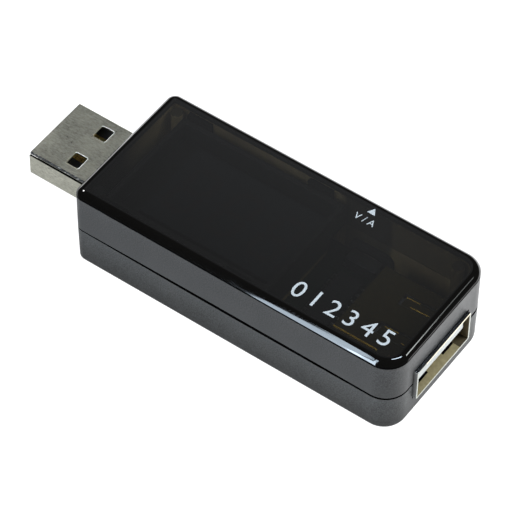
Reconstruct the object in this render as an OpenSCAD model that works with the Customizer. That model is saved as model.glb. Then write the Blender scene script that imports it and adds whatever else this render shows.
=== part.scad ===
// USB power meter: a plug, a smoked two-part case with a digit display and a side button, and a socket.
// X runs from the plug to the socket, +Y is the button's side, and Z = 0 is the underside of the case.
// The origin is the middle of the underside. All lengths are millimetres.

/* [Case] */
// Length between the two end faces
case_len = 54.2; // [52.5:0.1:60]
// Width across the long sides, at the seam
case_wid = 23.6; // [23.2:0.1:28]
// Height from the underside to the top
case_ht = 14.7; // [13.6:0.1:18]
// Height of the parting seam
seam_ht = 7; // [6.6:0.1:7.6]
// Open shadow line between the two halves
seam_gap = 0.4; // [0.2:0.05:0.6]
// Thickness of the side and end walls
wall = 1.4; // [1.2:0.1:1.6]
// Thickness of the top
roof = 1.5; // [1.2:0.1:1.8]
// Thickness of the bottom
base = 1.5; // [1:0.1:1.7]
// Rounding of the top's edge
top_round = 1.2; // [0.6:0.1:1.5]
// Rounding of the underside's edge
base_round = 1; // [0.5:0.1:1.5]
// Corner radius at the plug end
plug_corner = 1.5; // [1.4:0.1:3]
// Corner radius at the socket end
port_corner = 3.6; // [2:0.1:5]
// Height of the lower half's inner lip above the seam
lip_ht = 1.3; // [1:0.1:1.6]
// Thickness of the lip
lip_t = 0.65; // [0.5:0.05:0.8]

/* [Clips] */
// Width of a clip arm
clip_wid = 4; // [3:0.5:5]
// Thickness of a clip arm
clip_t = 0.8; // [0.6:0.1:0.9]
// Depth of a clip below the seam
clip_drop = 2.2; // [1.8:0.1:2.6]
// How far the clip's nib reaches into the wall
clip_nib = 0.5; // [0.3:0.1:0.6]
// Middle of the clips near the plug, from the inside of the plug end
clip_near_plug = 4.8; // [4.4:0.1:6]
// Middle of the other clips, from the middle of the case
clip_mid = 0; // [-4:0.1:2]

/* [Plug] */
// Width of the plug's shell
plug_wid = 12; // [11.5:0.05:12.5]
// Height of the plug's shell
plug_ht = 4.5; // [4.3:0.05:4.7]
// Length of the shell outside the case
plug_out = 12.4; // [11.8:0.1:14]
// Length of the shell inside the case
plug_in = 6.2; // [5.6:0.1:7]
// Space between the plug's shell and the board
plug_stand = 0.8; // [0.6:0.05:1]
// Outside radius of the shell's folds
plug_fold = 0.5; // [0.35:0.05:0.8]
// Sheet thickness of both connector shells
sheet = 0.3; // [0.25:0.01:0.35]
// Open slit of the folded seam along the plug's upper edge
fold_slit = 0.2; // [0.1:0.01:0.25]
// Length of a latch window, along the plug
window_len = 2.2; // [1.8:0.1:2.6]
// Width of a latch window
window_wid = 2.5; // [2:0.1:2.6]
// Corner radius of a latch window
window_round = 0.3; // [0.1:0.05:0.5]
// Distance between the middles of the two windows
window_pitch = 6.2; // [5.6:0.1:6.6]
// Middle of the windows from the tip
window_back = 6.4; // [5.5:0.1:7]
// Thickness of the core under the contacts
core_t = 1.9; // [1.7:0.05:2]
// Depth of the hollow that takes the socket's tongue
hollow_len = 11.6; // [11:0.1:11.8]
// Set-back of the core from the tip
core_back = 0.3; // [0.2:0.05:0.6]

/* [Contacts] */
// Width of a contact strip
contact_wid = 1; // [0.8:0.05:1.2]
// Thickness of a contact strip
contact_t = 0.25; // [0.2:0.01:0.3]
// Middle of the inner contacts from the centre line
contact_inner = 1; // [0.9:0.05:1.1]
// Middle of the outer contacts from the centre line
contact_outer = 3.5; // [3.3:0.05:3.7]
// How much further the outer plug contacts reach to the tip
contact_lead = 1; // [0.6:0.1:1.4]
// Length of the bowed spring of a socket contact
spring_len = 4; // [3:0.1:5]
// How far the bowed spring stands below the tongue
spring_drop = 0.35; // [0.2:0.05:0.5]
// Width of a socket contact's tail
tail_wid = 0.7; // [0.5:0.05:0.8]

/* [Socket] */
// Width of the socket's shell
port_wid = 13.15; // [13:0.05:13.4]
// Height of the socket's shell
port_ht = 5.8; // [5.6:0.05:6]
// Length of the socket's shell
port_len = 14; // [13.6:0.1:14.6]
// How far the shell stands out of the end face
port_out = 0.5; // [0.2:0.1:1]
// Thickness of the socket's back wall
port_back = 1.4; // [1:0.1:1.8]
// Middle of the shell's rear legs from the socket's back
leg_rear = 2; // [1.6:0.1:2.6]
// Middle of the shell's front legs from the socket's back
leg_front = 5.4; // [5:0.1:6]
// Width of the tongue
tongue_wid = 11.1; // [10.8:0.05:11.4]
// Thickness of the tongue
tongue_t = 1.84; // [1.7:0.02:2]
// Space above the tongue
tongue_gap = 0.72; // [0.6:0.02:0.9]
// Set-back of the tongue from the mouth
tongue_back = 0.5; // [0.3:0.1:0.9]
// Length of a spring finger
finger_len = 5.5; // [4.5:0.1:6.5]
// Width of a spring finger
finger_wid = 1.5; // [1.2:0.1:1.8]
// Middle of a spring finger from the centre line
finger_y = 3; // [2.6:0.1:3.4]
// Root of the fingers from the mouth
finger_back = 3.2; // [2.8:0.1:4]
// Slot round a finger
finger_slot = 0.35; // [0.2:0.05:0.5]
// Tilt of a finger into the socket, in degrees
finger_tilt = 4; // [2:0.5:6]

/* [Board] */
// Space between the bottom and the circuit board
board_room = 0.9; // [0.7:0.05:1.2]
// Thickness of the circuit board
board_t = 1.2; // [1:0.1:1.4]
// Space between the board's edge and the walls
board_edge = 0.3; // [0.2:0.05:0.5]
// Radius of the posts that hold the board down
post_r = 0.9; // [0.7:0.1:1]
// Middle of the posts from the walls
post_inset = 1.3; // [1.2:0.1:1.4]
// Radius of the two locating pins
pin_r = 0.75; // [0.6:0.05:0.9]
// Middle of the locating pin near the socket, from the inside of the socket end
pin_from_port = 6; // [5:0.1:7]
// How far legs, tails and pins show on the other side of the board
through = 0.4; // [0.2:0.05:0.5]
// Width of a connector shell's leg
leg_wid = 1.4; // [1:0.1:1.8]

/* [Display] */
// Space between the display and each long wall
display_side = 3.4; // [3:0.1:4.6]
// Space between the display and the meter chip's leads
display_clear = 2.5; // [1.6:0.1:4]
// Height of its face above the board
display_ht = 8; // [7.4:0.1:9]
// Space between the display and the board
display_stand = 0.8; // [0.4:0.1:1.2]
// Thickness of the display's own board
display_board_t = 1; // [0.8:0.1:1.2]
// Space between the digits' fields and the ends of the display
digit_edge = 0.35; // [0.2:0.05:0.6]
// Height of a digit as a share of the display's width
digit_ht_ratio = 0.65; // [0.55:0.01:0.7]
// Width of a digit as a share of its field
digit_wid_ratio = 0.66; // [0.55:0.01:0.7]
// Width of a segment
segment_wid = 1; // [0.8:0.05:1.2]
// Depth of a segment in the block
segment_depth = 0.8; // [0.5:0.1:1.2]
// Gap between the ends of two segments
segment_gap = 0.15; // [0.1:0.05:0.3]
// Slant of the digits, in degrees
slant = 8; // [0:1:10]
// Distance between two pins of the display
display_pin_pitch = 2.54; // [2:0.01:2.6]
// Middle of the display's pins from its long sides
display_pin_edge = 1.2; // [0.8:0.1:1.6]
// Thickness of the frame round the display
frame_t = 0.8; // [0.6:0.1:0.9]
// How far the frame reaches past the display
frame_over = 1.05; // [0.9:0.05:1.6]

/* [Button] */
// Middle of the button from the socket end's face
button_from_port = 18.2; // [17.6:0.1:18.8]
// Width of the button
button_wid = 6; // [5:0.1:7]
// Height of the button
button_ht = 2.6; // [2.2:0.1:2.8]
// How far it stands out of the side
button_out = 0.5; // [0.3:0.1:1]
// Corner radius of the button
button_round = 0.8; // [0.4:0.1:1]
// How far it travels when pressed
button_travel = 0.25; // [0.15:0.05:0.3]
// Clearance of the button in its hole
button_fit = 0.15; // [0.1:0.05:0.25]
// Thickness of the flange behind the wall
flange_t = 0.75; // [0.6:0.05:0.9]
// How far the flange reaches past the hole
flange_reach = 0.6; // [0.4:0.1:0.8]

/* [Switch] */
// Width of the push switch
switch_wid = 4.7; // [4.4:0.1:5.2]
// Space between the push switch and the meter chip
switch_clear = 2.1; // [1.8:0.05:2.4]
// Height of the push switch
switch_ht = 1.8; // [1.6:0.1:2.2]
// How far the plunger stands out at rest
plunger_out = 0.5; // [0.4:0.05:0.6]
// Width of the plunger
plunger_wid = 2.2; // [1.8:0.1:2.4]
// Height of the plunger
plunger_ht = 0.9; // [0.7:0.1:1]
// Shoulder that keeps the plunger in, on each side
shoulder = 0.4; // [0.3:0.05:0.5]
// Thickness of the cover plate
cover_t = 0.15; // [0.1:0.01:0.2]
// Thickness of the snap dome
dome_t = 0.1; // [0.06:0.01:0.12]

/* [Chips] */
// Length of the meter chip
chip_len = 9.9; // [9:0.1:10.2]
// Width of the meter chip
chip_wid = 3.9; // [3.6:0.1:4.2]
// Height of the meter chip
chip_ht = 1.5; // [1.2:0.1:1.8]
// Space under the meter chip
chip_stand = 0.15; // [0.1:0.05:0.2]
// Space between the meter chip's leads and the socket's tails
chip_back = 1.2; // [0.8:0.1:1.6]
// Space between the meter chip and the shunt resistor
chip_gap = 1; // [0.6:0.1:1.4]
// Space between the board's long edge and the shunt resistor
edge_gap = 0.95; // [0.6:0.05:1.2]
// Space between the socket and the regulator
regulator_gap = 0.4; // [0.3:0.05:0.5]
// Reach of a lead out of its body
lead_reach = 1.05; // [0.9:0.05:1.2]
// Thickness of a lead
lead_t = 0.2; // [0.15:0.01:0.25]
// Width of a lead
lead_wid = 0.42; // [0.3:0.02:0.5]
// Length of the shunt resistor
shunt_len = 6.4; // [6:0.1:6.8]
// Height of the shunt resistor
shunt_ht = 0.7; // [0.5:0.05:0.9]
// Length of the regulator
regulator_len = 4.5; // [4:0.1:5]
// Height of the regulator
regulator_ht = 1.5; // [1.2:0.1:1.8]
// Length of the large capacitor
bulk_len = 3.5; // [3.2:0.1:3.6]
// Space between the large capacitor and the plug's shell
bulk_gap = 0.6; // [0.4:0.05:0.9]
// Height of the large capacitor
bulk_ht = 1.9; // [1.6:0.1:2.4]
// Length of a small capacitor
cap_len = 2; // [1.6:0.1:2.2]
// Width of a small capacitor
cap_wid = 1.25; // [1:0.05:1.4]
// Height of a small capacitor
cap_ht = 0.85; // [0.6:0.05:1.2]
// Length of a small resistor
res_len = 1.6; // [1.4:0.1:1.8]
// Width of a small resistor
res_wid = 0.8; // [0.6:0.05:1]
// Height of a small resistor
res_ht = 0.45; // [0.3:0.05:0.6]
// Middle of the outer small parts from the ends of the display
small_edge = 2.2; // [1.6:0.1:3]

/* [Fits] */
// Clearance between pieces that are fitted together
fit = 0.1; // [0.05:0.01:0.15]
// Clearance of the case round each connector
mouth_fit = 0.15; // [0.1:0.01:0.2]

/* [Hidden] */
$fn = 48;
// Overshoot of a cut past the face it opens
past = 1;
// Smallest inside radius
least_round = 0.3;

half_len = case_len / 2;
half_wid = case_wid / 2;
seam_over = seam_ht + seam_gap / 2;
seam_under = seam_ht - seam_gap / 2;
lip_top = seam_ht + lip_ht;
roof_under = case_ht - roof;
inner_half = half_wid - wall;
inner_plug_x = -half_len + wall;
inner_port_x = half_len - wall;

// The board stands on the bottom's posts, and the socket stands on the board.
board_base = base + board_room;
board_top = board_base + board_t;
legs_end = board_base - through;

port_face_x = half_len + port_out;
port_rear_x = port_face_x - port_len;
port_z = board_top + port_ht / 2;
port_floor_z = board_top + sheet;
port_roof_z = port_z + port_ht / 2 - sheet;
port_wall_x = port_rear_x + port_back;
port_leg_xs = [port_rear_x + leg_rear, port_rear_x + leg_front];
tongue_face_x = port_face_x - tongue_back;
tongue_top_z = port_roof_z - tongue_gap;
tongue_base_z = tongue_top_z - tongue_t;
port_tail_x = port_rear_x - fit - contact_t;

plug_tip_x = -half_len - plug_out;
plug_rear_x = -half_len + plug_in;
plug_base_z = board_top + plug_stand;
plug_top_z = plug_base_z + plug_ht;
plug_z = plug_base_z + plug_ht / 2;
core_base_z = plug_base_z + sheet;
core_top_z = core_base_z + core_t;
// The plug's contacts stand this much proud of the core.
contact_proud = 0.08;
contact_top_z = core_top_z + contact_proud;
// Length of a plug contact's foot on the board
contact_foot = 1.4;
plug_tail_x = plug_rear_x + fit;

contact_ys = [-contact_outer, -contact_inner, contact_inner, contact_outer];

// The posts at the socket end keep clear of the rounded corners.
post_shift = port_corner / 4;
post_xs = [inner_plug_x + post_inset, inner_port_x - post_inset - post_shift];
post_y = inner_half - post_inset;
// The two locating pins stand at opposite corners of the board, each on a wider foot.
pin_foot_ratio = 1.4;
pin_foot_r = pin_r * pin_foot_ratio;
locating_pins = [[plug_rear_x - pin_r, post_y - fit], [inner_port_x - pin_from_port, -post_y + fit]];

clip_xs = [inner_plug_x + clip_near_plug, clip_mid];
clip_out_y = inner_half - fit;
clip_foot = seam_ht - clip_drop;
// Height of a clip's nib, and the share of it that slopes
clip_nib_ht = 1.2;
clip_slope_ratio = 2 / 3;

// The meter chip lies behind the socket, and its leads run along its two long sides.
chip_leads_side = 8;
lead_pitch = chip_len / chip_leads_side;
chip_x = port_tail_x - chip_wid / 2 - lead_reach - chip_back;
// The shunt fills the room between the chip and the board's edge.
board_half = inner_half - board_edge;
shunt_wid = board_half - edge_gap - chip_len / 2 - chip_gap;
shunt_y = -chip_len / 2 - chip_gap - shunt_wid / 2;
// The regulator lies beside the socket, and its leads reach towards the board's edge.
regulator_x = (port_rear_x + post_xs[1]) / 2;
regulator_y0 = port_wid / 2 + regulator_gap;
regulator_y1 = board_half - lead_reach - fit;

// The display fills the room between the plug's contacts and the meter chip.
display_x0 = plug_tail_x + contact_t + contact_foot + fit;
display_x1 = chip_x - chip_wid / 2 - lead_reach - display_clear;
display_x = (display_x0 + display_x1) / 2;
display_len = display_x1 - display_x0;
display_wid = 2 * (inner_half - display_side);
display_base = board_top + display_stand;
display_top = board_top + display_ht;
digits = 3;
digit_pitch = (display_len - 2 * digit_edge) / digits;
digit_ht = display_wid * digit_ht_ratio;
digit_wid = digit_pitch * digit_wid_ratio;
// Radius of a decimal point
point_r = 0.45;
display_pins_row = 6;
display_pin_r = 0.25;
display_pin_y = display_wid / 2 - display_pin_edge;

frame_half = clip_out_y - clip_t - fit;
frame_x0 = inner_plug_x + post_inset + post_r + fit;
frame_x1 = display_x1 + frame_over;
frame_base = plug_top_z + 3 * fit;

bulk_wid = frame_half - plug_wid / 2 - bulk_gap;
bulk_x = display_x0 - fit - bulk_len / 2;
bulk_y = -frame_half + bulk_wid / 2;
small_count = 8;
small_pitch = (display_len - 2 * small_edge) / (small_count - 1);
small_y = (display_wid / 2 + board_half) / 2;

button_x = half_len - button_from_port;
// The switch fills the room between the meter chip and the button's flange.
switch_front_y = inner_half - flange_t - plunger_out;
switch_rear_y = chip_len / 2 + switch_clear;
switch_depth = switch_front_y - switch_rear_y;
switch_lip = switch_depth / 6;
switch_rear = switch_depth / 5;
shoulder_len = switch_depth / 5;
switch_top = board_top + switch_ht;
button_z = board_top + switch_ht / 2;
plunger_face_y = switch_front_y + plunger_out;
shoulder_front_y = switch_front_y - switch_lip - fit / 2;
shoulder_rear_y = shoulder_front_y - shoulder_len;
pocket_half = plunger_wid / 2 + shoulder + fit;
pocket_rear_y = switch_rear_y + switch_rear;
pocket_base = button_z - plunger_ht / 2 - fit;
flange_half_x = button_wid / 2 + flange_reach;
flange_half_z = button_ht / 2 + flange_reach;
// Length and width of a switch terminal
terminal_len = 0.6;
terminal_wid = switch_depth / 5;

// A box from its lowest corner to its highest corner.
module block(low, high) {
    translate(low)
        cube(high - low);
}

// Both signs of Y.
module both_sides() {
    for (side = [0, 1])
        mirror([0, side, 0])
            children();
}

// A rectangle with rounded corners, centred on the origin.
module rounded_rectangle(wide, high, r) {
    square([wide - 2 * r, high], center = true);
    square([wide, high - 2 * r], center = true);
    for (x = [-1, 1], y = [-1, 1])
        translate([x * (wide / 2 - r), y * (high / 2 - r)])
            circle(r);
}

// A flat outline in Y and Z, drawn along X from x0 to x1.
module along_x(x0, x1) {
    translate([x0, 0, 0])
        rotate([90, 0, 90])
            linear_extrude(x1 - x0)
                children();
}

// Plan of the case, drawn in from its outer edge at the seam.
module case_plan(inset) {
    x0 = -half_len + inset;
    x1 = half_len - inset;
    y1 = half_wid - inset;
    r0 = max(plug_corner - inset, least_round);
    r1 = max(port_corner - inset, least_round);
    polygon([
        [x0 + r0, -y1], [x1 - r1, -y1], [x1, -y1 + r1], [x1, y1 - r1],
        [x1 - r1, y1], [x0 + r0, y1], [x0, y1 - r0], [x0, -y1 + r0]
    ]);
    for (side = [-1, 1]) {
        translate([x0 + r0, side * (y1 - r0)])
            circle(r0);
        translate([x1 - r1, side * (y1 - r1)])
            circle(r1);
    }
}

// Half section of one case half: the seam lies on the X axis, the outer wall stands at x = reach
// and the far edge is rounded.
module wall_section(reach, rise, edge_round) {
    r = min(edge_round, plug_corner - least_round);
    square([reach, rise - r]);
    square([reach - r, rise]);
    translate([reach - r, rise - r])
        intersection() {
            circle(r);
            square(r);
        }
}

// One rounded end of a case half, towards +X.
module case_end(corner, rise, edge_round) {
    translate([half_len - corner, 0, 0]) {
        rotate([90, 0, 0])
            linear_extrude(2 * (half_wid - corner), center = true)
                wall_section(corner, rise, edge_round);
        both_sides()
            translate([0, half_wid - corner, 0])
                rotate_extrude(angle = 90)
                    wall_section(corner, rise, edge_round);
    }
}

// A solid case half that stands on its seam.
module case_half(rise, edge_round) {
    case_end(port_corner, rise, edge_round);
    mirror([1, 0, 0])
        case_end(plug_corner, rise, edge_round);
    along_x(-half_len + plug_corner, half_len - port_corner) {
        wall_section(half_wid, rise, edge_round);
        mirror([1, 0])
            wall_section(half_wid, rise, edge_round);
    }
}

// The openings of the case for the plug and the socket.
module connector_openings() {
    along_x(-half_len - past, inner_plug_x + past)
        translate([0, plug_z])
            square([plug_wid + 2 * mouth_fit, plug_ht + 2 * mouth_fit], center = true);
    along_x(inner_port_x - past, half_len + past)
        translate([0, port_z])
            square([port_wid + 2 * mouth_fit, port_ht + 2 * mouth_fit], center = true);
}

// Outline of the button grown by a clearance, in X and Z, drawn along Y from y0 to y1.
module button_prism(grow, y0, y1) {
    translate([button_x, y1, button_z])
        rotate([90, 0, 0])
            linear_extrude(y1 - y0)
                rounded_rectangle(button_wid + 2 * grow, button_ht + 2 * grow, button_round + grow);
}

// Clip arm of the upper shell on the +Y side, with its nib below the seam.
module clip_arm(x) {
    block([x - clip_wid / 2, clip_out_y - clip_t, clip_foot],
          [x + clip_wid / 2, clip_out_y, roof_under + roof / 2]);
    block([x - clip_wid / 2, clip_out_y - clip_t, lip_top + fit],
          [x + clip_wid / 2, inner_half + wall / 4, roof_under + roof / 2]);
    along_x(x - clip_wid / 2, x + clip_wid / 2)
        polygon([
            [clip_out_y - clip_t / 2, clip_foot], [clip_out_y, clip_foot],
            [clip_out_y + clip_nib, clip_foot + clip_nib_ht * clip_slope_ratio],
            [clip_out_y + clip_nib, clip_foot + clip_nib_ht],
            [clip_out_y - clip_t / 2, clip_foot + clip_nib_ht]
        ]);
}

// Pocket of the lower shell's wall that takes a clip's nib.
module clip_pocket(x) {
    block([x - clip_wid / 2 - fit, inner_half - past, clip_foot - fit],
          [x + clip_wid / 2 + fit, clip_out_y + clip_nib + fit, clip_foot + clip_nib_ht + fit]);
}

module upper_shell() {
    color([0.06, 0.055, 0.05]) {
        difference() {
            translate([0, 0, seam_over])
                case_half(case_ht - seam_over, top_round);
            translate([0, 0, seam_over - past])
                linear_extrude(roof_under - seam_over + past)
                    case_plan(wall);
            translate([0, 0, seam_over - past])
                linear_extrude(lip_top - seam_over + past)
                    case_plan(wall - lip_t - fit);
            connector_openings();
        }
        both_sides()
            for (x = clip_xs)
                clip_arm(x);
        both_sides()
            for (x = post_xs)
                translate([x, post_y, board_top])
                    cylinder(r = post_r, h = roof_under + roof / 2 - board_top);
    }
}

module lower_shell() {
    color([0.12, 0.12, 0.12]) {
        difference() {
            union() {
                translate([0, 0, seam_under])
                    mirror([0, 0, 1])
                        case_half(seam_under, base_round);
                translate([0, 0, seam_under - past])
                    linear_extrude(lip_top - seam_under + past)
                        case_plan(wall - lip_t);
            }
            translate([0, 0, base])
                linear_extrude(case_ht)
                    case_plan(wall);
            connector_openings();
            button_prism(button_fit, inner_half - past, half_wid + past);
            both_sides()
                for (x = clip_xs)
                    clip_pocket(x);
        }
        both_sides()
            for (x = post_xs)
                translate([x, post_y, base / 2])
                    cylinder(r = post_r, h = board_base - base / 2);
        for (place = locating_pins)
            translate([place.x, place.y, base / 2]) {
                cylinder(r = pin_foot_r, h = board_base - base / 2);
                cylinder(r = pin_r, h = board_top + through - base / 2);
            }
    }
}

// Section of the plug's folded shell in Y and Z: the seam lies along the -Y upper edge,
// where the top plate ends just inside the side wall's outer face.
module plug_section() {
    edge_y = plug_wid / 2;
    edge_z = plug_ht / 2;
    square_end = plug_fold + sheet;
    plug_fold_in = max(plug_fold - sheet, least_round / 2);
    difference() {
        rounded_rectangle(plug_wid, plug_ht, plug_fold);
        rounded_rectangle(plug_wid - 2 * sheet, plug_ht - 2 * sheet, plug_fold_in);
        translate([-edge_y - past, edge_z - square_end])
            square([square_end + past, square_end + past]);
    }
    translate([-edge_y + fold_slit, edge_z - sheet])
        square([square_end, sheet]);
    translate([-edge_y, edge_z - square_end - sheet])
        square([sheet, square_end - fold_slit]);
}

module plug_shell() {
    color([0.72, 0.7, 0.66]) {
        difference() {
            translate([0, 0, plug_z])
                along_x(plug_tip_x, plug_rear_x)
                    plug_section();
            both_sides()
                translate([plug_tip_x + window_back, window_pitch / 2, plug_base_z - past])
                    linear_extrude(plug_ht + 2 * past)
                        rounded_rectangle(window_len, window_wid, window_round);
        }
        both_sides()
            block([plug_rear_x - leg_wid - sheet, plug_wid / 2 - sheet, legs_end],
                  [plug_rear_x - sheet, plug_wid / 2, plug_z]);
    }
}

// Core of the plug: a thin floor under the contacts and a full block behind the hollow.
module plug_insulator() {
    core_half = plug_wid / 2;
    hollow_x = plug_tip_x + hollow_len;
    color([0.05, 0.05, 0.055])
        difference() {
            intersection() {
                translate([0, 0, plug_z])
                    along_x(plug_tip_x + core_back, plug_rear_x)
                        rounded_rectangle(plug_wid - 2 * sheet - fit, plug_ht - 2 * sheet, plug_fold);
                union() {
                    block([plug_tip_x, -core_half, plug_base_z], [plug_rear_x, core_half, core_top_z]);
                    block([hollow_x, -core_half, plug_base_z], [plug_rear_x, core_half, plug_top_z]);
                }
            }
            for (y = contact_ys)
                block([plug_tip_x + core_back + contact_lead / 2, y - contact_wid / 2 - fit / 2,
                       contact_top_z - contact_t],
                      [plug_rear_x + past, y + contact_wid / 2 + fit / 2, contact_top_z]);
        }
}

// Plug contacts: a strip on the core, a drop behind it and a foot on the board.
module plug_contacts() {
    color([0.78, 0.6, 0.25])
        for (y = contact_ys) {
            lead_in = abs(y) > contact_inner ? contact_lead : 2 * contact_lead;
            tip_x = plug_tip_x + core_back + lead_in;
            y0 = y - contact_wid / 2;
            y1 = y + contact_wid / 2;
            block([tip_x, y0, contact_top_z - contact_t], [plug_tail_x + contact_t, y1, contact_top_z]);
            block([plug_tail_x, y0, board_top], [plug_tail_x + contact_t, y1, contact_top_z]);
            block([plug_tail_x, y0, board_top],
                  [plug_tail_x + contact_t + contact_foot, y1, board_top + contact_t]);
        }
}

// A spring finger of the socket, lying in the plate z = 0 to -sheet, with its root at the origin
// and its free end towards -X and down.
module finger() {
    rotate([0, -finger_tilt, 0])
        translate([-finger_len, -finger_wid / 2, -sheet])
            cube([finger_len, finger_wid, sheet]);
    translate([0, -finger_wid / 2, -sheet])
        cube([sheet, finger_wid, sheet]);
}

// The window that a finger is cut from.
module finger_window() {
    translate([-finger_len - finger_slot, -finger_wid / 2 - finger_slot, -sheet - past])
        cube([finger_len + finger_slot, finger_wid + 2 * finger_slot, sheet + 2 * past]);
}

// Puts its children at the two fingers above, the two below and the one on each side.
module each_finger() {
    root_x = port_face_x - finger_back;
    for (y = [-finger_y, finger_y], under = [0, 1])
        translate([root_x, y, port_z])
            mirror([0, 0, under])
                translate([0, 0, port_ht / 2])
                    children();
    for (side = [-90, 90])
        translate([root_x, 0, port_z])
            rotate([side, 0, 0])
                translate([0, 0, port_wid / 2])
                    children();
}

// Folded shell of the socket, with its spring fingers and two legs on each side.
module receptacle_shell() {
    corner = sheet;
    color([0.7, 0.69, 0.66]) {
        difference() {
            translate([0, 0, port_z])
                along_x(port_rear_x, port_face_x)
                    difference() {
                        rounded_rectangle(port_wid, port_ht, corner);
                        square([port_wid - 2 * sheet, port_ht - 2 * sheet], center = true);
                    }
            each_finger()
                finger_window();
        }
        each_finger()
            finger();
        both_sides()
            for (x = port_leg_xs)
                block([x - leg_wid / 2, port_wid / 2 - sheet, legs_end],
                      [x + leg_wid / 2, port_wid / 2, board_top + 2 * sheet]);
    }
}

// White core of the socket: a back wall and the tongue, with a groove under it for each contact.
module receptacle_insulator() {
    core_half = port_wid / 2 - sheet - fit / 2;
    groove_half = contact_wid / 2 + fit / 2;
    color([0.88, 0.87, 0.83])
        difference() {
            union() {
                block([port_rear_x, -core_half, port_floor_z],
                      [port_wall_x, core_half, port_roof_z - fit / 2]);
                block([port_rear_x, -tongue_wid / 2, tongue_base_z],
                      [tongue_face_x, tongue_wid / 2, tongue_top_z]);
            }
            for (y = contact_ys)
                block([port_rear_x - past, y - groove_half, tongue_base_z - contact_t],
                      [tongue_face_x - contact_wid, y + groove_half, tongue_base_z + contact_t]);
        }
}

// Socket contacts: a strip in the tongue's groove with a bowed spring near its front, and a tail
// through the board.
module receptacle_contacts() {
    bow_x0 = tongue_face_x - contact_wid - spring_len;
    bow_x1 = tongue_face_x - contact_wid - fit;
    bow_x = (bow_x0 + bow_x1) / 2;
    strip_top_z = tongue_base_z + contact_t;
    color([0.78, 0.6, 0.25])
        for (y = contact_ys) {
            translate([0, y + contact_wid / 2, 0])
                rotate([90, 0, 0])
                    linear_extrude(contact_wid)
                        polygon([
                            [port_tail_x, tongue_base_z], [bow_x0, tongue_base_z],
                            [bow_x, tongue_base_z - spring_drop], [bow_x1, tongue_base_z],
                            [bow_x1, strip_top_z], [bow_x, strip_top_z - spring_drop],
                            [bow_x0, strip_top_z], [port_tail_x, strip_top_z]
                        ]);
            block([port_tail_x, y - tail_wid / 2, legs_end],
                  [port_tail_x + contact_t, y + tail_wid / 2, strip_top_z]);
        }
}

// Holes of the main board for the legs of both connectors.
module leg_slots() {
    low = board_base - past;
    high = board_top + past;
    both_sides() {
        block([plug_rear_x - leg_wid - sheet - fit, plug_wid / 2 - sheet - fit, low],
              [plug_rear_x - sheet + fit, plug_wid / 2 + fit, high]);
        for (x = port_leg_xs)
            block([x - leg_wid / 2 - fit, port_wid / 2 - sheet - fit, low],
                  [x + leg_wid / 2 + fit, port_wid / 2 + fit, high]);
    }
}

// Puts its children at each pin of the display.
module each_display_pin() {
    first = -(display_pins_row - 1) / 2;
    both_sides()
        for (i = [0 : display_pins_row - 1])
            translate([display_x + (first + i) * display_pin_pitch, display_pin_y, 0])
                children();
}

module main_board() {
    tail_hole_r = tail_wid / 2 + 2 * fit;
    notch_half = flange_half_x + 2 * fit;
    notch_y = plunger_face_y - button_travel - 2 * fit;
    color([0.05, 0.28, 0.12])
        difference() {
            translate([0, 0, board_base])
                linear_extrude(board_t)
                    case_plan(wall + board_edge);
            leg_slots();
            for (y = contact_ys)
                translate([port_tail_x + contact_t / 2, y, board_base - past])
                    cylinder(r = tail_hole_r, h = board_t + 2 * past);
            for (place = locating_pins)
                translate([place.x, place.y, board_base - past])
                    cylinder(r = pin_r + fit, h = board_t + 2 * past);
            each_display_pin()
                translate([0, 0, board_base - past])
                    cylinder(r = display_pin_r + fit, h = board_t + 2 * past);
            block([button_x - notch_half, notch_y, board_base - past],
                  [button_x + notch_half, half_wid, board_top + past]);
        }
}

// Dark frame round the display: a floor with a hole for the display, and a rim up to the top.
module display_frame() {
    color([0.04, 0.04, 0.04])
        difference() {
            block([frame_x0, -frame_half, frame_base], [frame_x1, frame_half, roof_under]);
            block([frame_x0 + frame_t, -frame_half + frame_t, frame_base + frame_t],
                  [frame_x1 - frame_t, frame_half - frame_t, roof_under + past]);
            block([display_x0 - fit, -display_wid / 2 - fit, frame_base - past],
                  [display_x1 + fit, display_wid / 2 + fit, roof_under]);
        }
}

// Points of a flat figure leaned by the digits' slant.
function slanted(points) = [for (p = points) [p.x + p.y * tan(slant), p.y]];

// A six-sided bar about a middle point, lying or upright.
function bar(x, y, len, upright) =
    let (a = len / 2, b = segment_wid / 2)
    let (flat = [[-a, 0], [-a + b, b], [a - b, b], [a, 0], [a - b, -b], [-a + b, -b]])
    [for (p = flat) upright ? [x + p.y, y + p.x] : [x + p.x, y + p.y]];

// The seven bars and the point of one digit, in the plane.
module digit_plan() {
    across = digit_wid - segment_wid;
    down = (digit_ht - segment_wid) / 2;
    for (row = [-1, 0, 1])
        polygon(slanted(bar(0, row * down, across - 2 * segment_gap, false)));
    for (column = [-1, 1], row = [-1, 1])
        polygon(slanted(bar(column * across / 2, row * down / 2, down - 2 * segment_gap, true)));
    translate([digit_wid / 2 + point_r, -down])
        circle(point_r);
}

module digit_prisms(z0, z1) {
    for (i = [0 : digits - 1])
        translate([display_x + (i - (digits - 1) / 2) * digit_pitch, 0, z0])
            linear_extrude(z1 - z0)
                digit_plan();
}

module display_body() {
    color([0.03, 0.03, 0.03])
        difference() {
            block([display_x0, -display_wid / 2, display_base + display_board_t],
                  [display_x1, display_wid / 2, display_top]);
            digit_prisms(display_top - segment_depth, display_top + past);
        }
}

module display_segments() {
    color([0.2, 0.06, 0.05])
        digit_prisms(display_top - segment_depth, display_top);
}

module display_board() {
    color([0.3, 0.25, 0.12])
        difference() {
            block([display_x0 + fit, -display_wid / 2 + fit, display_base],
                  [display_x1 - fit, display_wid / 2 - fit, display_base + display_board_t]);
            each_display_pin()
                translate([0, 0, display_base - past])
                    cylinder(r = display_pin_r + fit / 4, h = display_board_t + 2 * past);
        }
}

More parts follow.
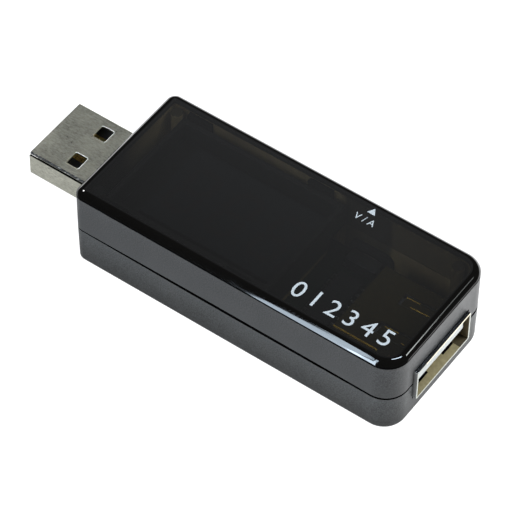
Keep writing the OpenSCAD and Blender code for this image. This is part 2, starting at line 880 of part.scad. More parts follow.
module display_pins() {
    color([0.75, 0.75, 0.74])
        each_display_pin()
            translate([0, 0, legs_end])
                cylinder(r = display_pin_r, h = display_base + display_board_t - legs_end);
}

// A bent lead that leaves its body at x = 0 towards +X and stands on the board, centred on Y = 0.
module bent_lead(exit_z) {
    translate([0, lead_wid / 2, 0])
        rotate([90, 0, 0])
            linear_extrude(lead_wid)
                polygon([
                    [0, exit_z], [lead_reach / 2, exit_z], [lead_reach / 2, board_top],
                    [lead_reach, board_top], [lead_reach, board_top + lead_t],
                    [lead_reach / 2 + lead_t, board_top + lead_t],
                    [lead_reach / 2 + lead_t, exit_z + lead_t], [0, exit_z + lead_t]
                ]);
}

module meter_chip() {
    color([0.08, 0.08, 0.085])
        block([chip_x - chip_wid / 2, -chip_len / 2, board_top + chip_stand],
              [chip_x + chip_wid / 2, chip_len / 2, board_top + chip_ht]);
}

module meter_chip_leads() {
    color([0.75, 0.75, 0.74])
        for (side = [0, 180], i = [0 : chip_leads_side - 1])
            translate([chip_x, (i - (chip_leads_side - 1) / 2) * lead_pitch, 0])
                rotate([0, 0, side])
                    translate([chip_wid / 2, 0, 0])
                        bent_lead(board_top + chip_ht / 2);
}

module shunt_resistor() {
    color([0.12, 0.12, 0.12])
        block([chip_x - shunt_len / 2, shunt_y - shunt_wid / 2, board_top],
              [chip_x + shunt_len / 2, shunt_y + shunt_wid / 2, board_top + shunt_ht]);
}

module regulator() {
    color([0.08, 0.08, 0.085])
        block([regulator_x - regulator_len / 2, regulator_y0, board_top + chip_stand / 3],
              [regulator_x + regulator_len / 2, regulator_y1, board_top + regulator_ht]);
}

module regulator_leads() {
    color([0.75, 0.75, 0.74])
        for (i = [-1, 0, 1])
            translate([regulator_x + i * regulator_len / 3, regulator_y1, 0])
                rotate([0, 0, 90])
                    bent_lead(board_top + regulator_ht / 3);
}

module bulk_capacitor() {
    color([0.75, 0.55, 0.15])
        block([bulk_x - bulk_len / 2, bulk_y - bulk_wid / 2, board_top],
              [bulk_x + bulk_len / 2, bulk_y + bulk_wid / 2, board_top + bulk_ht]);
}

// A row of small parts on the board beside the display.
module small_row(side, long, wide, high) {
    first_x = display_x0 + small_edge;
    for (i = [0 : small_count - 1])
        translate([first_x + i * small_pitch, side * small_y, board_top + high / 2])
            cube([wide, long, high], center = true);
}

module chip_capacitors() {
    color([0.55, 0.42, 0.3])
        small_row(-1, cap_len, cap_wid, cap_ht);
}

module chip_resistors() {
    color([0.1, 0.1, 0.1])
        small_row(1, res_len, res_wid, res_ht);
}

module button_cap() {
    color([0.1, 0.1, 0.1]) {
        button_prism(0, plunger_face_y + flange_t / 2, half_wid + button_out);
        block([button_x - flange_half_x, plunger_face_y, button_z - flange_half_z],
              [button_x + flange_half_x, inner_half, button_z + flange_half_z]);
    }
}

module switch_base() {
    color([0.1, 0.1, 0.1])
        difference() {
            block([button_x - switch_wid / 2, switch_rear_y, board_top],
                  [button_x + switch_wid / 2, switch_front_y, switch_top]);
            block([button_x - pocket_half, pocket_rear_y, pocket_base],
                  [button_x + pocket_half, switch_front_y - switch_lip, switch_top + past]);
            block([button_x - plunger_wid / 2 - fit, pocket_rear_y, pocket_base],
                  [button_x + plunger_wid / 2 + fit, switch_front_y + past, switch_top + past]);
        }
}

// Steel cover of the switch, with a leg to the board on each side.
module switch_cover() {
    leg_half = switch_depth / 6;
    middle_y = (switch_front_y + switch_rear_y) / 2;
    outer = switch_wid / 2 + cover_t;
    color([0.7, 0.7, 0.7]) {
        block([button_x - outer, switch_rear_y, switch_top],
              [button_x + outer, switch_front_y, switch_top + cover_t]);
        for (side = [0, 1])
            translate([button_x, 0, 0])
                mirror([side, 0, 0])
                    block([switch_wid / 2, middle_y - leg_half, board_top],
                          [outer, middle_y + leg_half, switch_top + cover_t]);
    }
}

// Bowed snap dome between the pocket's back and the plunger.
module switch_dome() {
    half_chord = pocket_half - fit;
    bow = shoulder_rear_y - pocket_rear_y - fit / 2;
    bow_r = (half_chord * half_chord + bow * bow) / (2 * bow);
    half_ht = plunger_ht / 2 - fit;
    color([0.8, 0.8, 0.78])
        intersection() {
            block([button_x - half_chord, pocket_rear_y, button_z - half_ht],
                  [button_x + half_chord, shoulder_rear_y, button_z + half_ht]);
            translate([button_x, pocket_rear_y + bow - bow_r, button_z - plunger_ht])
                difference() {
                    cylinder(r = bow_r, h = 2 * plunger_ht);
                    translate([0, 0, -past])
                        cylinder(r = bow_r - dome_t, h = 2 * plunger_ht + 2 * past);
                }
        }
}

module switch_plunger() {
    half_ht = plunger_ht / 2;
    half_shoulder = plunger_wid / 2 + shoulder;
    color([0.85, 0.83, 0.78]) {
        block([button_x - plunger_wid / 2, shoulder_rear_y, button_z - half_ht],
              [button_x + plunger_wid / 2, plunger_face_y, button_z + half_ht]);
        block([button_x - half_shoulder, shoulder_rear_y, button_z - half_ht],
              [button_x + half_shoulder, shoulder_front_y, button_z + half_ht]);
    }
}

module switch_terminals() {
    color([0.75, 0.75, 0.74])
        for (side = [0, 1], y = [switch_rear_y, switch_front_y - terminal_wid])
            translate([button_x, 0, 0])
                mirror([side, 0, 0])
                    block([switch_wid / 2, y, board_top],
                          [switch_wid / 2 + terminal_len, y + terminal_wid, board_top + lead_t]);
}

lower_shell();
upper_shell();
plug_shell();
plug_insulator();
plug_contacts();
receptacle_shell();
receptacle_insulator();
receptacle_contacts();
main_board();
display_frame();
display_body();
display_segments();
display_board();
display_pins();
meter_chip();
meter_chip_leads();
shunt_resistor();
regulator();
regulator_leads();
bulk_capacitor();
chip_capacitors();
chip_resistors();
button_cap();
switch_base();
switch_cover();
switch_dome();
switch_plunger();
switch_terminals();
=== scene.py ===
# %% [markdown]
# # A pocket power meter, piece by piece
# The object plugs in between a charger and a cable and measures what flows through it. Its case is two
# moulded halves. The upper half is smoked plastic with a polished top, and the sides of both halves have
# a fine satin grain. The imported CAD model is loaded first, as a fixed frame that says where everything
# is. The pieces made here are drawn in millimetres, because mesh tools work best on numbers near one, and
# are turned into metres at the end.

# %% Load the frame
import math

import bmesh
import bpy
from mathutils import Matrix, Vector


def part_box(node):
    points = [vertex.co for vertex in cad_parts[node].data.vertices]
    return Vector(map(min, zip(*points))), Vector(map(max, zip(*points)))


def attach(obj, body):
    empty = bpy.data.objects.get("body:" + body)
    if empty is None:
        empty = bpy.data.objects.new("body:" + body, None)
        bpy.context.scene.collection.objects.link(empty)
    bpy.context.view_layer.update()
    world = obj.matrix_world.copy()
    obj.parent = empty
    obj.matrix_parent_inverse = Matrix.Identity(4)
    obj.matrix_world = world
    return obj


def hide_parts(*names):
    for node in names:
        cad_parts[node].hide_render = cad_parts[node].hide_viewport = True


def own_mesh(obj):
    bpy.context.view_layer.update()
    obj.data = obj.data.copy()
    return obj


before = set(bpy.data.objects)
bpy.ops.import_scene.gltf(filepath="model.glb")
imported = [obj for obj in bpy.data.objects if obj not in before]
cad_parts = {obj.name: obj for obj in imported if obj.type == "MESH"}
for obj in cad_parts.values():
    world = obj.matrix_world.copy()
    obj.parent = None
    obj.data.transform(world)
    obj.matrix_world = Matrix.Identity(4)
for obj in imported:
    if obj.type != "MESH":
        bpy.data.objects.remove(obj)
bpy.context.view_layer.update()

MM = 0.001


# %% [markdown]
# ## Camera
# The photograph is taken with a long lens, from above the socket's end. The place, the direction and the
# lens come from fitting a camera to the edges of the plug, the case and the socket. A camera looks along
# its own -Z axis, so to_track_quat turns that axis into the direction of view, and a small roll about it
# levels the picture.

# %% Camera
camera_place = Vector((0.16188, -0.23561, 0.35663))
camera_look = Vector((-0.36500, 0.51858, -0.77321))
camera_roll = math.radians(0.715)
focal_px = 3235.25
frame_px = 512


def place_in_scene(name, data):
    """A new object in the scene that shows a mesh, a light, a text or a camera."""
    thing = bpy.data.objects.new(name, data)
    bpy.context.scene.collection.objects.link(thing)
    return thing


lens = bpy.data.cameras.new("camera")
lens.sensor_width = 36
lens.lens = focal_px / frame_px * lens.sensor_width
lens.clip_start = 0.02
lens.clip_end = 20
camera = place_in_scene("camera", lens)
turn = camera_look.to_track_quat("-Z", "Y").to_matrix().to_4x4()
camera.matrix_world = Matrix.Translation(camera_place) @ turn @ Matrix.Rotation(camera_roll, 4, "Z")
bpy.context.scene.camera = camera
bpy.context.scene.view_settings.view_transform = "Standard"
print("lens:", round(lens.lens, 2), "mm")

# %% [markdown]
# ## Nodes in few words
# Every material and every effect is a tree of nodes. One helper makes a node, sets its options and fills
# its inputs: a number or a colour goes in as it is, and another node's output is linked. The other
# helpers give the sums and mixes that come back in the recipes below.

# %% Node helpers
def add_node(tree, kind, inputs=None, **options):
    """Adds a shader node. An input takes a plain value, or the output of another node."""
    made = tree.nodes.new("ShaderNode" + kind)
    for option, value in options.items():
        setattr(made, option, value)
    for name, value in (inputs or {}).items():
        if isinstance(value, bpy.types.NodeSocket):
            tree.links.new(value, made.inputs[name])
        else:
            made.inputs[name].default_value = value
    return made


def math_node(tree, operation, first, second=0.0, third=0.0):
    """A Math node's output."""
    return add_node(tree, "Math", {0: first, 1: second, 2: third}, operation=operation).outputs[0]


def raised(tree, start, mask, by):
    """A value that is raised by an amount where a mask is 1."""
    return math_node(tree, "MULTIPLY_ADD", mask, by, start)


def spread(tree, value, low, high, new_low, new_high):
    """Maps a value from one range to another, clamped."""
    ranges = {0: value, 1: low, 2: high, 3: new_low, 4: new_high}
    return add_node(tree, "MapRange", ranges).outputs[0]


print("node helpers:", [helper.__name__ for helper in (add_node, math_node, raised, spread)])

# %% Colour and place helpers
MIX_SHARE, MIX_FIRST, MIX_SECOND, MIXED = 0, 6, 7, 2


def mix_colours(tree, share, first, second, **blend):
    """A blend of two colours."""
    colours = {MIX_SHARE: share, MIX_FIRST: first, MIX_SECOND: second}
    return add_node(tree, "Mix", colours, data_type="RGBA", **blend).outputs[MIXED]


def grey(tree, tone):
    """A grey of the given tone."""
    return add_node(tree, "CombineColor", {0: tone, 1: tone, 2: tone}).outputs[0]


def scaled_colour(tree, colour, tone):
    """A plain colour made lighter and darker by a tone."""
    return mix_colours(tree, 1.0, colour, grey(tree, tone), blend_type="MULTIPLY")


def object_vector(tree):
    """Where a point lies on the part, in metres."""
    return add_node(tree, "TexCoord").outputs["Object"]


def object_place(tree):
    """The same place as three outputs: X, Y and Z."""
    return add_node(tree, "SeparateXYZ", {0: object_vector(tree)}).outputs


print("colour helpers:", [helper.__name__ for helper in (mix_colours, grey, scaled_colour)])

# %% [markdown]
# A material is a Principled shader with its constants on its own inputs. Patterns are linked in where
# they change over the surface.

# %% Material helpers
def shader_input(finish, label):
    """An input of a material's shader, named in small letters with underscores for spaces."""
    name = label.replace("_", " ").title().replace("Ior", "IOR")
    return finish.node_tree.nodes["Principled BSDF"].inputs[name]


def start_finish(name, **constants):
    """A new material with its constants set, and its tree."""
    finish = bpy.data.materials.new(name)
    finish.use_nodes = True
    for label, value in constants.items():
        shader_input(finish, label).default_value = value
    return finish, finish.node_tree


def feed(finish, **sources):
    """Links outputs of nodes to inputs of a material's shader."""
    for label, source in sources.items():
        finish.node_tree.links.new(source, shader_input(finish, label))


print("material helpers:", [helper.__name__ for helper in (start_finish, feed)])

# %% [markdown]
# ## Stage
# The photograph has a white ground with no shadow, as on a light table that is brighter at the back. The
# floor is a wide pale disc that glows. Most of what the dark satin sides show is this ground, mirrored,
# so its brightness sets their grey: dim in front, bright behind. The camera itself sees it plain white,
# which the Light Path node tells apart. The disc lies a hair under the case's underside. A white floor
# under strong lights could give the ground too, but it would show the case's shadow.

# %% Floor
floor_radius = 2.5
floor_drop = 0.05 * MM
front_glow, back_glow, seen_glow = 0.61, 2.0, 1.0
glow_starts, glow_ends = -0.02, 0.03
glow_lean = 0.23


def start_glow(name, pale):
    """A matt paper that glows, its tree, and where on it a point lies."""
    paper, tree = start_finish(name, roughness=0.8, specular_ior_level=pale, emission_strength=1.0)
    fibre = add_node(tree, "TexNoise", {"Scale": 40.0, "Detail": 4.0}).outputs[0]
    feed(paper, base_color=grey(tree, spread(tree, fibre, 0.0, 1.0, 0.92 * pale, 1.08 * pale)))
    return paper, tree, object_place(tree)


def mesh_of(shape, name):
    """Turns a drawn shape into a mesh."""
    mesh = bpy.data.meshes.new(name)
    shape.to_mesh(mesh)
    shape.free()
    return mesh


def stage_sheet(name, shape, paper):
    """Turns a drawn shape into a sheet of the stage."""
    sheet = place_in_scene(name, mesh_of(shape, name))
    sheet.data.materials.append(paper)
    print("stage sheet:", name)
    return sheet


paper, tree, place = start_glow("floor_paper", 0.12)
depth = raised(tree, place["Y"], place["X"], glow_lean)
ramp = {0: depth, 1: glow_starts, 2: glow_ends, 3: front_glow, 4: back_glow}
glow = add_node(tree, "MapRange", ramp, interpolation_type="SMOOTHSTEP").outputs[0]
is_seen = add_node(tree, "LightPath").outputs["Is Camera Ray"]
feed(paper, emission_color=grey(tree, spread(tree, is_seen, 0.0, 1.0, glow, seen_glow)))
disc = bmesh.new()
bmesh.ops.create_circle(disc, cap_ends=True, radius=floor_radius, segments=96)
floor = stage_sheet("floor", disc, paper)
floor.location.z = -floor_drop

# %% [markdown]
# ## Light
# Polished plastic shows its lights as shapes, so each strip is placed where a rounded edge mirrors it. A
# leaning strip on the near left, bent like a bow, draws the white band along the near edge, and two wider
# panels beside it make the band's bright end. Others overhead draw the bright hook on the near right
# corner and the line along the socket's end, which fades towards the far side. One more makes the spark
# on the near left corner. The key and the fill are kept out of reflections, because they would show as
# more shapes.

# %% Band along the near edge
case_middle = Vector((0, 0, 0.012))


def light_strip(name, foot, head, wide, radiance, colour=(1, 1, 1), mirrored=True):
    """An area light from its foot to its head that faces the case. Its power is four times its radiance
    times its area, which is how Blender counts an area light's power."""
    foot, head = Vector(foot), Vector(head)
    up = (head - foot).normalized()
    middle = (foot + head) / 2
    back = middle - case_middle
    back = (back - back.dot(up) * up).normalized()
    lamp = bpy.data.lights.new(name, "AREA")
    lamp.shape = "RECTANGLE"
    lamp.size = wide
    lamp.size_y = (head - foot).length
    lamp.energy = 4 * lamp.size * lamp.size_y * radiance
    lamp.color = colour
    holder = place_in_scene(name, lamp)
    axes = Matrix((up.cross(back), up, back)).transposed().to_4x4()
    holder.matrix_world = Matrix.Translation(middle) @ axes
    holder.visible_glossy = mirrored
    print(name, "light:", round(lamp.energy, 2), "W")


cool = (0.72, 0.86, 1.0)
near_bend = [(-0.158, 0.0), (-0.175, 0.2), (-0.214, 0.45), (-0.268, 0.7), (-0.430, 1.22)]
near_wide = [0.040, 0.038, 0.034, 0.030]
near_y = -0.5
for i, wide in enumerate(near_wide):
    (foot_x, foot_z), (head_x, head_z) = near_bend[i:i + 2]
    foot, head = (foot_x, near_y, foot_z), (head_x, near_y, head_z)
    light_strip("near_strip_%d" % i, foot, head, wide, 8.8, cool)
light_strip("band_end_low", (-0.098, near_y, 0.1), (-0.130, near_y, 0.5), 0.105, 14.5, cool)
light_strip("band_end_high", (-0.110, near_y, 0.5), (-0.170, near_y, 1.0), 0.14, 9, cool)

# %% Corner, end, fill and key
neutral = (0.94, 1.0, 0.99)
light_strip("corner_strip", (0.42, 0.40, 1.0), (0.10, 0.14, 1.0), 0.12, 20, cool)
light_strip("end_line", (0.947, 0.706, 0.795), (0.77, 0.739, 0.951), 0.04, 9, neutral)
light_strip("end_spot", (0.80, 0.82, 1.0), (0.70, 0.79, 1.0), 0.06, 3.7, neutral)
light_strip("corner_spark", (-0.772, 0.123, 0.947), (-0.428, 0.077, 0.753), 0.2, 26)
light_strip("fill", (-0.3, -0.9, 0.8), (0.3, -0.9, 0.8), 0.5, 13, mirrored=False)
light_strip("key", (0.5, 0.85, 0.9), (0.9, 0.25, 0.9), 0.6, 28, (0.95, 0.985, 1.0), mirrored=False)

# %% [markdown]
# The flat top is a mirror too. A dim card stands where the camera, mirrored in the top, looks. Its glow
# fades across it, so that the sheen on the top fades from the far edge to the near one, and a little at
# the socket's end. A light could give the sheen too, but its glow is even, and a card's can fade.

# %% Sheen card
card_far = 1.2
card_half = 0.34
card_turn = math.radians(-118)
card_colour = (0.96, 1.0, 1.05, 1)
card_dim, card_bright = 0.198, 0.326
dim_at, bright_at = -0.018, 0.042
socket_end_at, socket_end_ends = -0.092, -0.050
socket_end_share = 0.72

paper, tree, place = start_glow("sheen_paper", 0.0)
sheen = spread(tree, place["X"], dim_at, bright_at, card_dim, card_bright)
fading = spread(tree, place["Y"], socket_end_at, socket_end_ends, socket_end_share, 1.0)
sheen = math_node(tree, "MULTIPLY", sheen, fading)
feed(paper, emission_color=scaled_colour(tree, card_colour, sheen))
square = bmesh.new()
bmesh.ops.create_grid(square, x_segments=1, y_segments=1, size=card_half)
card = stage_sheet("sheen_card", square, paper)
away = Vector((camera_look.x, camera_look.y, -camera_look.z)).normalized()
facing = away.to_track_quat("Z", "Y").to_matrix().to_4x4() @ Matrix.Rotation(card_turn, 4, "Z")
card.matrix_world = Matrix.Translation(case_middle + card_far * away) @ facing
card.visible_camera = False
card.visible_shadow = False

# %% [markdown]
# The rest of the room is a dim grey that is lighter near the horizon. The world's own colour gives it:
# the height of a direction above the horizon picks a place on a colour ramp.

# %% Room
room_tones = [(0.0, 0.07), (0.35, 0.027)]

world = bpy.data.worlds.new("room")
bpy.context.scene.world = world
world.use_nodes = True
room_tree = world.node_tree
direction = add_node(room_tree, "TexCoord").outputs["Generated"]
height = add_node(room_tree, "SeparateXYZ", {0: direction}).outputs[2]
room_ramp = add_node(room_tree, "ValToRGB", {0: height})
for stop, (position, tone) in zip(room_ramp.color_ramp.elements, room_tones):
    stop.position = position
    stop.color = (tone, tone, tone, 1)
room_tree.links.new(room_ramp.outputs[0], room_tree.nodes["Background"].inputs["Color"])
print("room: dim above, paler at the horizon")

# %% [markdown]
# ## Shared effects
# Some marks are on more than one material: the grain of a spark-eroded mould, smudges, fine scratches,
# brushing, dust and light edges. Each is a node group, built once and placed in every material that shows
# it with its own values. The patterns read Object coordinates, which are metres on the part, so a scale
# of 10000 makes marks of a tenth of a millimetre.

# %% Mould grain
def start_effect(name, **inputs):
    """Starts a node group with number inputs, given with their usual values."""
    group = bpy.data.node_groups.new(name, "ShaderNodeTree")
    for label, usual in inputs.items():
        socket = group.interface.new_socket(label, in_out="INPUT", socket_type="NodeSocketFloat")
        socket.default_value = usual
    print("effect:", name)
    return group, group.nodes.new("NodeGroupInput").outputs


def end_effect(group, **results):
    """Gives a node group an output for each result."""
    for label in results:
        group.interface.new_socket(label, in_out="OUTPUT", socket_type="NodeSocketFloat")
    sink = group.nodes.new("NodeGroupOutput").inputs
    for label, value in results.items():
        group.links.new(value, sink[label])


def noise(tree, place, scale, detail, **more):
    """A cloudy pattern of values about one half."""
    inputs = {"Vector": place, "Scale": scale, "Detail": detail, **more}
    return add_node(tree, "TexNoise", inputs).outputs[0]


grain, given = start_effect("mould_grain", Scale=9000.0, Contrast=0.9)
height = noise(grain, object_vector(grain), given["Scale"], 3.0, Roughness=0.6)
from_middle = math_node(grain, "SUBTRACT", height, 0.5)
tone = raised(grain, 1.0, from_middle, given["Contrast"])
end_effect(grain, Height=height, Tone=math_node(grain, "MAXIMUM", tone, 0.1))

# %% Smudges and hair scratches
smudge, given = start_effect("smudges", Scale=220.0)
cloud = noise(smudge, object_vector(smudge), given["Scale"], 5.0, Distortion=0.6)
end_effect(smudge, Mask=spread(smudge, cloud, 0.42, 0.72, 0.0, 1.0))

scratch, given = start_effect("hair_scratches", Scale=900.0, Amount=0.5)
place = object_vector(scratch)
lean = {"Vector": place, "Rotation": (0, 0, 0.35), "Scale": (0.03, 1.0, 0.4)}
leaned = add_node(scratch, "Mapping", lean).outputs[0]
lines = noise(scratch, leaned, given["Scale"], 2.0)
thin = spread(scratch, lines, 0.70, 0.76, 0.0, 1.0)
some = spread(scratch, noise(scratch, place, 300.0, 1.0), 0.5, 0.62, 0.0, 1.0)
drawn = math_node(scratch, "MULTIPLY", thin, some)
end_effect(scratch, Mask=math_node(scratch, "MULTIPLY", drawn, given["Amount"]))

# %% Streaks of rolled sheet
brush, given = start_effect("rolled_sheet", Scale=1400.0, Stretch=0.06, Amount=1.0)
along = add_node(brush, "CombineXYZ", {0: given["Stretch"], 1: 1.0, 2: 1.0}).outputs[0]
pulled = add_node(brush, "VectorMath", {0: object_vector(brush), 1: along}, operation="MULTIPLY")
height = noise(brush, pulled.outputs[0], given["Scale"], 6.0, Roughness=0.7)
from_middle = math_node(brush, "SUBTRACT", height, 0.5)
end_effect(brush, Height=height, Tone=raised(brush, 1.0, from_middle, given["Amount"]))

# %% Dust and light edges
dust, given = start_effect("dust_specks", Scale=700.0, Size=0.06)
cells = add_node(dust, "TexVoronoi", {"Vector": object_vector(dust), "Scale": given["Scale"]})
chance = add_node(dust, "SeparateColor", {0: cells.outputs["Color"]}).outputs[0]
near_point = math_node(dust, "LESS_THAN", cells.outputs["Distance"], given["Size"])
chosen = math_node(dust, "GREATER_THAN", chance, 0.82)
end_effect(dust, Mask=math_node(dust, "MULTIPLY", near_point, chosen))

edge, given = start_effect("light_edges", Start=0.52, End=0.6)
sharpness = add_node(edge, "NewGeometry").outputs["Pointiness"]
end_effect(edge, Mask=spread(edge, sharpness, given["Start"], given["End"], 0.0, 1.0))

# %% [markdown]
# ## Finishes
# The smoked top is brown-black plastic from a polished mould: a dark mirror that lets a little of the
# inside show. Alpha gives that view straight through the flat roof. The rounding along the top's edges
# looks down into the whole height of the wall, where the smoke is too deep to see through, so it has the
# same gloss but is opaque. Smudges dull the gloss a little, and a few specks of dust and hair scratches
# lie on it, as on any gloss-black thing. Transmission could show the inside too, but it is slow and
# noisy through thin dark walls.

# %% Smoked plastic
smoke_colour = (0.0012, 0.0011, 0.001, 1)
speck_colour = (0.04, 0.04, 0.04, 1)


def use_effect(tree, group, **values):
    """Places a node group in a material and hands back its outputs."""
    placed = tree.nodes.new("ShaderNodeGroup")
    placed.node_tree = group
    for label, value in values.items():
        placed.inputs[label].default_value = value
    return placed.outputs


def smoked_gloss(name, ior, alpha):
    """Polished smoked plastic."""
    finish, tree = start_finish(name, ior=ior, alpha=alpha)
    specks = use_effect(tree, dust, Scale=420.0, Size=0.03)["Mask"]
    hairs = use_effect(tree, scratch, Amount=0.5)["Mask"]
    dulled = use_effect(tree, smudge)["Mask"]
    rough = raised(tree, 0.035, dulled, 0.03)
    rough = raised(tree, rough, hairs, 0.1)
    rough = raised(tree, rough, specks, 0.4)
    feed(finish, base_color=mix_colours(tree, specks, smoke_colour, speck_colour), roughness=rough)
    return finish


smoked_polish = smoked_gloss("smoked_polish", 1.63, 0.8)
polished_edge = smoked_gloss("polished_edge", 1.55, 1.0)

smoked_under, tree = start_finish("smoked_roof_under", ior=1.2, alpha=0.1)
flow = use_effect(tree, smudge, Scale=90.0)["Mask"]
brown = mix_colours(tree, flow, (0.006, 0.005, 0.004, 1), (0.01, 0.008, 0.006, 1))
feed(smoked_under, base_color=brown, roughness=raised(tree, 0.2, flow, 0.1))
print("smoked finishes:", smoked_polish.name, polished_edge.name, smoked_under.name)

# %% [markdown]
# Light from inside comes back brown, so the inner walls are brown. At the plug's end painted shade darkens
# them towards the near side. Painted shade darkens them beside the switch too, and past it they are
# painted a little lighter again.

# %% Inner walls
painted_wall_shade = (0.01, 0.01, 0.01, 1)
plug_wall_x = (-23.5 * MM, -23.0 * MM)
plug_fade_y = (-2 * MM, 8 * MM)
display_end_x = (3.0 * MM, 4.2 * MM)
switch_end_x = (11.3 * MM, 12.2 * MM)


def smoked_wall(name, red):
    """Brown inner walls, as red as given, with painted shade at the plug's end and beside the switch."""
    finish, tree = start_finish(name, ior=1.5)
    flow = use_effect(tree, smudge, Scale=140.0)["Mask"]
    place = object_place(tree)
    at_plug = spread(tree, place["X"], *plug_wall_x, 1.0, 0.0)
    plug_painted_light = spread(tree, place["Y"], *plug_fade_y, 0.03, 1.0)
    light = spread(tree, at_plug, 0.0, 1.0, 1.0, plug_painted_light)
    past_display = spread(tree, place["X"], *display_end_x, 1.0, 0.1)
    past_switch = spread(tree, place["X"], *switch_end_x, 0.0, 0.45)
    light = math_node(tree, "MULTIPLY", light, math_node(tree, "MAXIMUM", past_display, past_switch))
    dull_brown, warm_brown = (red, 0.79 * red, 0.41 * red, 1), (1.2 * red, 0.95 * red, 0.5 * red, 1)
    brown = mix_colours(tree, flow, dull_brown, warm_brown)
    tone = mix_colours(tree, light, painted_wall_shade, brown)
    feed(finish, base_color=tone, roughness=raised(tree, 0.3, flow, 0.1))
    return finish


# The lower half's walls are a lighter copy, painted lighter where less light reaches them, and the posts'
# ends a nearly black copy: painted shade.
smoked_inside = smoked_wall("smoked_inside", 0.34)
smoked_low = smoked_wall("smoked_low", 0.8)
smoked_post = smoked_wall("smoked_post", 0.05)
print("inner walls:", smoked_inside.name, smoked_low.name, smoked_post.name)

# %% [markdown]
# The sides come from a spark-eroded mould face: a very fine even grain that scatters light and looks
# dark grey. The grain drives a small bump and the roughness, edges are a little lighter where hands rub
# them, and faint scuffs show. Each half's colour is painted darker towards its lower edge and paler
# towards its upper edge: painted shade and light by height. The seam and the inside of the lips are
# painted nearly black, as painted shade. The pits could be modelled, but they are hundredths of a
# millimetre, so a bump stands for them.

# %% Satin plastic
def bump(tree, height, strength, depth):
    """The normal of a surface that a height pattern makes uneven. Depth is in metres."""
    inputs = {"Height": height, "Strength": strength, "Distance": depth}
    return add_node(tree, "Bump", inputs).outputs[0]


def satin_plastic(name, colour, rub_colour, roughness, ior, heights=(0.0, 1.0), tones=(1.0, 1.0)):
    """Satin plastic. Between two heights its tone, painted shade, runs from the first to the second."""
    finish, tree = start_finish(name, ior=ior)
    grains = use_effect(tree, grain, Scale=5000.0, Contrast=6.0)
    scuffs = use_effect(tree, smudge, Scale=160.0)["Mask"]
    hairs = use_effect(tree, scratch, Scale=700.0, Amount=0.25)["Mask"]
    rubbed = use_effect(tree, edge)["Mask"]
    shade = spread(tree, object_place(tree)["Z"], *heights, *tones)
    tone = scaled_colour(tree, colour, math_node(tree, "MULTIPLY", shade, grains["Tone"]))
    tone = mix_colours(tree, math_node(tree, "MULTIPLY", rubbed, 0.5), tone, rub_colour)
    tone = mix_colours(tree, hairs, tone, rub_colour)
    rough = raised(tree, roughness, scuffs, -0.07)
    rough = raised(tree, rough, grains["Height"], 0.06)
    uneven = bump(tree, grains["Height"], 0.5, 0.03 * MM)
    feed(finish, base_color=tone, roughness=rough, normal=uneven)
    return finish


# The tones paint each half darker low down and lighter at the top: painted shade and light.
satin_upper = satin_plastic(
    "satin_upper", (0.016, 0.0165, 0.017, 1), (0.05, 0.052, 0.054, 1), 0.44, 1.4,
    heights=(7 * MM, 13 * MM), tones=(0.55, 1.25))
satin_lower = satin_plastic(
    "satin_lower", (0.013, 0.0137, 0.0138, 1), (0.045, 0.046, 0.047, 1), 0.46, 1.36,
    heights=(1 * MM, 7 * MM), tones=(0.55, 1.95))
satin_button = satin_plastic(
    "satin_button", (0.015, 0.015, 0.016, 1), (0.05, 0.05, 0.05, 1), 0.4, 1.38)
print("satin finishes:", satin_upper.name, satin_lower.name, satin_button.name)


# %% Shadow and ink
def matt_skin(name, colour, ior, scale, roughness, grain_roughness):
    """A plain colour with the mould's grain in its tone and its roughness."""
    finish, tree = start_finish(name, ior=ior)
    grains = use_effect(tree, grain, Scale=scale)
    tone = scaled_colour(tree, colour, grains["Tone"])
    feed(finish, base_color=tone, roughness=raised(tree, roughness, grains["Height"], grain_roughness))
    return finish


# A nearly black skin without gloss, put where shade falls: painted shade.
shadow_line = matt_skin("shadow_line", (0.001, 0.001, 0.001, 1), 1.05, 9000.0, 0.7, 0.1)
print_ink = matt_skin("print_ink", (0.165, 0.181, 0.193, 1), 1.45, 12000.0, 0.35, 0.2)
print("matt finishes:", shadow_line.name, print_ink.name)

# %% [markdown]
# The plug and the socket are folded from nickel-plated steel sheet. Rolling leaves streaks along the
# strip, and plugging in leaves scratches and dull patches. The socket's plating looks warmer, so the
# recipe takes a colour. An anisotropic shader could give such streaks too, but a stretched pattern also
# tints them.

# %% Plated steel
long_streaks = {"Stretch": 0.06, "Scale": 1400.0}
short_streaks = {"Stretch": 0.4, "Scale": 4200.0}
faint = 0.004 * MM


def plated_steel(name, colour, dull_colour, roughness, streaks, depth=0.02 * MM, amount=1.0):
    """Rolled sheet with a plated skin."""
    finish, tree = start_finish(name, metallic=1.0)
    rolled = use_effect(tree, brush, Amount=amount, **streaks)
    patches = use_effect(tree, smudge, Scale=260.0)["Mask"]
    hairs = use_effect(tree, scratch, Scale=1100.0, Amount=0.25)["Mask"]
    tone = scaled_colour(tree, colour, rolled["Tone"])
    tone = mix_colours(tree, math_node(tree, "MULTIPLY", patches, 0.5), tone, dull_colour)
    rough = roughness
    for mask in (patches, rolled["Height"], hairs):
        rough = raised(tree, rough, mask, 0.1)
    feed(finish, base_color=tone, roughness=rough, normal=bump(tree, rolled["Height"], 0.25, depth))
    return finish


nickel_plug = plated_steel(
    "nickel_plug", (0.39, 0.385, 0.325, 1), (0.345, 0.34, 0.28, 1), 0.24, short_streaks, amount=2.0)
nickel_socket = plated_steel(
    "nickel_socket", (0.62, 0.57, 0.42, 1), (0.56, 0.51, 0.36, 1), 0.07, short_streaks, faint)
